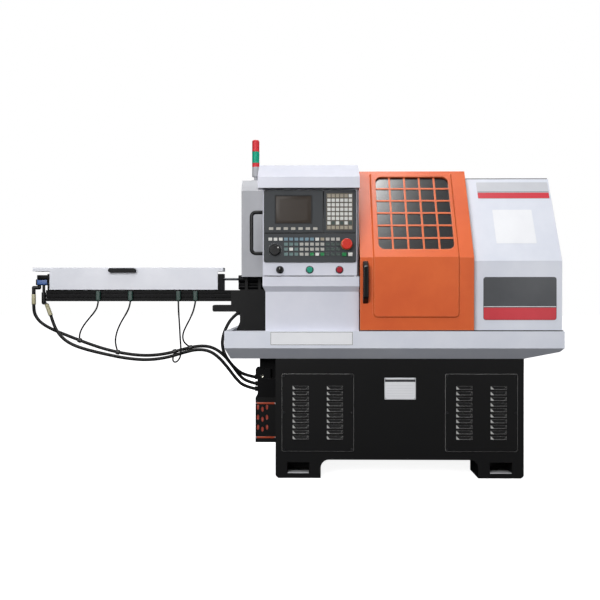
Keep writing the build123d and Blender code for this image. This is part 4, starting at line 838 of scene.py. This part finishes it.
def sliceCard(card, low, high):  # keeps the strip between two heights
    openEdit(card)
    for height, side in ((low, True), (high, False)):
        bpy.ops.mesh.select_all(action="SELECT")
        bpy.ops.mesh.bisect(plane_co=(0, 0, height), plane_no=(0, 0, 1), use_fill=True,
                            clear_inner=side, clear_outer=not side)
    closeEdit()


def mountOn(piece, spec, finish, lift=0.0):
    if len(spec["at"]) == 2:  # on the leaning front of the right cover
        x, along = spec["at"]
        place = Matrix.Translation(leanFoot) @ leanTurn @ Matrix.Translation((x, -lift, along))
    else:
        place = Matrix.Translation(spec["at"]) @ Matrix.Translation((0, -lift, 0))
    piece.data.transform(place)
    piece.data.update()
    handOver(piece, "machine", finish)


def printFilm(name, spec):
    width, height = spec["size"]
    inset = cardPrint["inset"]
    return cutCard(name, width - inset, height - inset, cardPrint["film"],
                   spec["corner"] - cardPrint["tighter"])


def mountCard(name, spec):
    width, height = spec["size"]
    thick, film = spec["thick"], cardPrint["film"]
    card = cutCard(name, width, height, thick, spec["corner"])
    roundEdges(card, thick / 4, 1)
    mountOn(card, spec, spec["finish"])
    if "band" in spec:
        finish, low, high = spec["band"]
        band = printFilm(name + "_band", spec)
        sliceCard(band, low + cardPrint["inset"] / 2, high)
        mountOn(band, spec, finish, thick)
    if "line" in spec:
        line = printFilm(name + "_line", spec)
        sliceCard(line, *(spec["band"][2] + step for step in cardPrint["line"]))
        mountOn(line, spec, spec["line"], thick)
    if "rim" in spec:
        rim = printFilm(name + "_rim", spec)
        cutThrough(rim, cardPrint["rim"])
        mountOn(rim, spec, spec["rim"], thick)
    if "rules" in spec:
        half, tall = width * cardPrint["ruleShare"], cardPrint["ruleHalf"]
        rule = addBlock("rule", (-half, -film, -tall), (half, 0, tall))
        insetFaces(rule, frontFace, cardPrint["ruleLip"])
        places = [Vector((0, 0, height)) for height in spec["rules"]]
        rules = copyRow(rule, places, name + "_rules")
        discard(rule)
        mountOn(rules, spec, spec["rim"], thick)


for name, spec in cards.items():
    mountCard(name, spec)
print("cards mounted:", len(cards))

# orange liner and straps of the vent box beside the stand
ventTrim = {"liner": ((-0.6755, -0.3249, 0.156), (-0.5855, -0.3229, 0.359)),
            "cuts": 5, "dimpleLip": 0.003, "dimple": 0.0006,
            "straps": (0.338, 0.174), "strapHigh": 0.009, "left": -0.6810, "right": -0.5800,
            "face": -0.330, "strapThick": 0.0024, "round": 0.0009, "roundSteps": 3}


def trimVent():
    liner = addBlock("vent_liner", *ventTrim["liner"])
    openEdit(liner)
    pick(liner, frontFace)
    bpy.ops.mesh.subdivide(number_cuts=ventTrim["cuts"])
    bpy.ops.mesh.inset(thickness=ventTrim["dimpleLip"], use_individual=True)
    bpy.ops.transform.translate(value=(0, ventTrim["dimple"], 0))  # dimpled sheet
    closeEdit()
    handOver(liner, "machine", "linerRed")
    half, face = ventTrim["strapHigh"] / 2, ventTrim["face"]
    strap = addBlock("strap", (ventTrim["left"], face - ventTrim["strapThick"], -half),
                     (ventTrim["right"], face, half))
    roundEdges(strap, ventTrim["round"], ventTrim["roundSteps"])
    places = [Vector((0, 0, height)) for height in ventTrim["straps"]]
    straps = copyRow(strap, places, "vent_straps")
    discard(strap)
    handOver(straps, "machine", "strapRed")


trimVent()
print("vent trimmed")

# trim of the feeder's left end, the feet and the switches
hoseSleeves = {"ends": (((-1.795, -0.196, 0.812), (-1.795, -0.196, 0.861)),
                        ((-1.7065, -0.2079, 0.7573), (-1.7277, -0.2039, 0.8112))),
               "radius": 0.0103, "sides": 40, "lip": 0.002, "sink": 0.0008, "round": 0.0008}
driveCover = {"box": ((-1.7705, -0.2208, 0.9095), (-1.7205, -0.2165, 0.9325)),
              "lip": 0.004, "sink": 0.0006, "round": 0.0016, "roundSteps": 3}
driveCap = {"box": ((-1.7720, -0.2170, 0.9362), (-1.7160, -0.1750, 0.9555)),
            "lip": 0.005, "sink": 0.0012, "round": 0.0016, "roundSteps": 3}
valveNut = {"at": (-0.6474, -0.3230, 0.4675), "radius": 0.0075, "deep": 0.006, "sides": 6,
            "lip": 0.0025, "sink": -0.001, "round": 0.0006}
footPlate = {"box": ((-0.050, -0.427, 0.0221), (0.050, -0.367, 0.0251)), "reach": 0.474,
             "round": 0.0008}
switchMarks = {"slot": ((-0.5580, -0.5266, 0.9745), (-0.5560, -0.5258, 0.9825)),
               "dot": (-0.5640, -0.5236, 1.0750), "dotRadius": 0.0036, "dotDepth": 0.0008,
               "dotSides": 32, "round": 0.0003}


def fitEndTrim():
    for number, ends in enumerate(hoseSleeves["ends"], 1):
        low, high = (Vector(end) for end in ends)
        axis = high - low
        sleeve = addRod("hose_sleeve_%d" % number, (low + high) / 2, hoseSleeves["radius"],
                        axis.length, axis.to_track_quat("Z", "Y").to_euler(), hoseSleeves["sides"])
        insetFaces(sleeve, roundFace, hoseSleeves["lip"], hoseSleeves["sink"])
        roundEdges(sleeve, hoseSleeves["round"])
        handOver(sleeve, "machine", "ferruleCream")
    for name, spec, side, slot, finish in (
            ("drive_cover", driveCover, frontFace, "blue_paint", "blueCoat"),
            ("drive_cap", driveCap, topFace, "black_anodised", "blackAnodised")):
        cover = addBlock(name, *spec["box"])
        insetFaces(cover, side, spec["lip"], spec["sink"])
        roundEdges(cover, spec["round"], spec["roundSteps"])
        handOver(cover, "machine", finish)
    nut = addRod("valve_nut", valveNut["at"], valveNut["radius"], valveNut["deep"],
                 sides=valveNut["sides"])
    insetFaces(nut, frontFace, valveNut["lip"], valveNut["sink"])
    roundEdges(nut, valveNut["round"])
    handOver(nut, "machine", "platedFitting")


def layFootPlates():
    plate = addBlock("foot_plate", *footPlate["box"])
    roundEdges(plate, footPlate["round"])
    toBack = Matrix.Rotation(pi, 4, "Z")
    moves = [Matrix.Translation((side * footPlate["reach"], 0, 0)) @ way
             for side in (-1, 1) for way in (Matrix(), toBack)]
    plates = copyRow(plate, moves, "foot_plates")
    discard(plate)
    handOver(plates, "machine", "sillGrey")


def markSwitches():
    slot = addBlock("key_slot", *switchMarks["slot"])
    dot = addRod("knob_dot", switchMarks["dot"], switchMarks["dotRadius"],
                 switchMarks["dotDepth"], sides=switchMarks["dotSides"])
    for mark, body in ((slot, "key"), (dot, "knob")):
        roundEdges(mark, switchMarks["round"])
        handOver(mark, body, "keyWhite")


fitEndTrim()
layFootPlates()
markSwitches()
print("ends, feet and switches trimmed")

# screws, one socket head modelled once
screw = {"radius": 0.0048, "rise": 0.0032, "socket": 0.0024, "depth": 0.0018, "sides": 18,
         "round": 0.0005}
brightScrew = {"body": "machine", "finish": "groundSteel", "slot": "steel", "size": 1.0, "turn": 0}
blackScrew = {"body": "machine", "finish": "screwBlack", "slot": "dark_steel", "size": 1.0, "turn": 0}


def ringSpots(left, right, low, high, inset=0.014):
    return [(x, z) for x in (left + inset, right - inset)
            for z in (low + inset, (low + high) / 2, high - inset)]


def cornerSpots(x, z, wide, tall):
    return [(x + side * wide, z + way * tall) for side in (-1, 1) for way in (-1, 1)]


standPanel = {"middle": 0.382, "half": 0.1585, "heights": (0.136, 0.3075, 0.479)}
standSpots = [(side * standPanel["middle"] + way * standPanel["half"], height)
              for side in (-1, 1) for way in (-1, 1) for height in standPanel["heights"]]
screwSets = {
    "panel_screws": {**blackScrew, "face": -0.433, "spots": standSpots},
    "strap_screws": {**brightScrew, "face": -0.3324, "size": 0.75,
                     "spots": [(x, z) for x in (-0.676, -0.586) for z in ventTrim["straps"]]},
    "card_rivets": {**brightScrew, "face": -0.4312, "size": 0.42,
                    "spots": cornerSpots(0.003, 0.420, 0.0675, 0.0455)},
    "housing_rear_screws": {**brightScrew, "face": 0.452, "turn": 180,
                            "spots": ringSpots(-0.592, -0.237, 0.736, 1.182)},
    "enclosure_rear_screws": {**brightScrew, "face": 0.452, "turn": 180,
                              "spots": ringSpots(-0.147, 0.295, 0.736, 1.380)},
    "cover_rear_screws": {**brightScrew, "face": 0.452, "turn": 180,
                          "spots": ringSpots(0.385, 0.700, 0.736, 1.380)},
    "cover_side_screws": {**brightScrew, "face": 0.747, "turn": 90,
                          "spots": [(-0.411, 0.750), (-0.411, 0.985), (-0.010, 0.750),
                                    (0.391, 0.750), (0.391, 1.058), (0.391, 1.366),
                                    (-0.200, 1.366), (0.096, 1.366)]},
    "stand_rear_screws": {**blackScrew, "face": 0.433, "turn": 180, "spots": standSpots},
    "unit_screws": {**blackScrew, "body": "panel", "face": -0.503, "size": 0.7,
                    "spots": cornerSpots(-0.4185, 1.174, 0.2055, 0.1595)},
}


def turnScrew():
    head = addRod("screw_head", (0, -screw["rise"] / 2, 0), screw["radius"], screw["rise"],
                  sides=screw["sides"])
    sinkWell(head, screw["radius"] - screw["socket"], screw["depth"])
    roundEdges(head, screw["round"])
    return head


def driveScrews():
    head = turnScrew()
    for name, spec in screwSets.items():
        grow = Matrix.Scale(spec["size"], 4)
        turn = Matrix.Rotation(radians(spec["turn"]), 4, "Z")
        across = spec["turn"] == 90  # set on a side wall, where the first place is a depth
        moves = []
        for x, z in spec["spots"]:
            place = (spec["face"], x, z) if across else (x, spec["face"], z)
            moves.append(Matrix.Translation(place) @ turn @ grow)
        handOver(copyRow(head, moves, name), spec["body"], spec["finish"])
    discard(head)


driveScrews()
print("screws driven:", sum(len(spec["spots"]) for spec in screwSets.values()))

# studio: pale floor and soft lamps
studio = {
    "floor": 60.0, "floorDrop": 0.0005, "floorRough": 0.85, "floorSpec": 0.1,
    "floorGrain": 12.0, "floorCloud": 0.5,
    "floorPale": ("F4F4F5", "F0F0F1"), "floorGlow": 0.9, "bounce": 0.05,
    "sky": 0.42, "skyLow": 0.05, "skyRise": (-0.1, 0.7), "skyTint": (0.97, 0.98, 1.0, 1),
    "backdrop": 1.0, "white": (1.0, 1.0, 1.0, 1),
    "lamps": (
        ("key_lamp", (-2.2, -5.0, 2.4), (-0.2, -0.4, 0.8), (2.6, 2.6), 165.0, True),
        ("top_lamp", (-0.40, -0.95, 4.4), (-0.3, -0.6, 0.9), (1.7, 1.7), 55.0, True),
        ("fill_lamp", (2.6, -5.0, 1.7), (0.2, -0.4, 0.8), (2.2, 2.2), 52.0, True),
        ("rear_lamp", (0.6, 4.6, 3.2), (-0.2, 0.2, 0.8), (3.0, 3.0), 100.0, True),
        ("window_glint", (-0.24, -1.14, 4.4), (0.1, -0.4, 1.2), (0.9, 0.9), 74.0, False)),
}


def seenByCamera(tree):
    return addNode(tree, "ShaderNodeLightPath").outputs["Is Camera Ray"]


def layFloor():
    freshStart()
    bpy.ops.mesh.primitive_plane_add(size=studio["floor"], location=(0, 0, -studio["floorDrop"]))
    floor = bpy.context.object
    floor.name = "studio_floor"
    material, tree, shader = newMaterial("paleFloor")
    shader.inputs["Roughness"].default_value = studio["floorRough"]
    shader.inputs["Specular IOR Level"].default_value = studio["floorSpec"]
    grain = useGroup(tree, coatGrain, Scale=studio["floorGrain"], Cloud=studio["floorCloud"])
    pale = mixColour(tree, grain.outputs["Cloud"], *(colour(code) for code in studio["floorPale"]))
    seen = seenByCamera(tree)
    dim = (studio["bounce"], studio["bounce"], studio["bounce"], 1)
    tree.links.new(mixColour(tree, seen, dim, pale), shader.inputs["Base Color"])
    shader.inputs["Emission Color"].default_value = studio["white"]
    glow = mathNode(tree, "MULTIPLY", seen, studio["floorGlow"])
    tree.links.new(glow, shader.inputs["Emission Strength"])
    floor.data.materials.append(material)


def hangLamps():
    for name, place, aim, size, power, soft in studio["lamps"]:
        lamp = bpy.data.lights.new(name, "AREA")
        lamp.energy = power
        lamp.shape = "RECTANGLE"
        lamp.size, lamp.size_y = size
        holder = bpy.data.objects.new(name, lamp)
        scene.collection.objects.link(holder)
        holder.visible_camera = False
        holder.visible_diffuse = soft  # a glint lamp shows in gloss alone
        holder.location = place
        holder.rotation_euler = (Vector(aim) - Vector(place)).to_track_quat("-Z", "Y").to_euler()


def paintSky():
    world = bpy.data.worlds.new("studio_sky")
    world.use_nodes = True
    tree = world.node_tree
    sky = tree.nodes["Background"]
    place = addNode(tree, "ShaderNodeTexCoord")
    parts = addNode(tree, "ShaderNodeSeparateXYZ")
    tree.links.new(place.outputs["Generated"], parts.inputs[0])
    seen = seenByCamera(tree)
    level = addNode(tree, "ShaderNodeMix", data_type="FLOAT")
    feed(tree, level.inputs["Factor"], seen)
    glow = spread(tree, parts.outputs["Z"], *studio["skyRise"], studio["skyLow"], studio["sky"])
    feed(tree, level.inputs["A"], glow)
    feed(tree, level.inputs["B"], studio["backdrop"])
    tree.links.new(level.outputs["Result"], sky.inputs["Strength"])
    feed(tree, sky.inputs["Color"], mixColour(tree, seen, studio["skyTint"], studio["white"]))
    scene.world = world
    scene.view_settings.view_transform = "Standard"
    scene.view_settings.look = "None"


layFloor()
hangLamps()
paintSky()
print("studio lit")
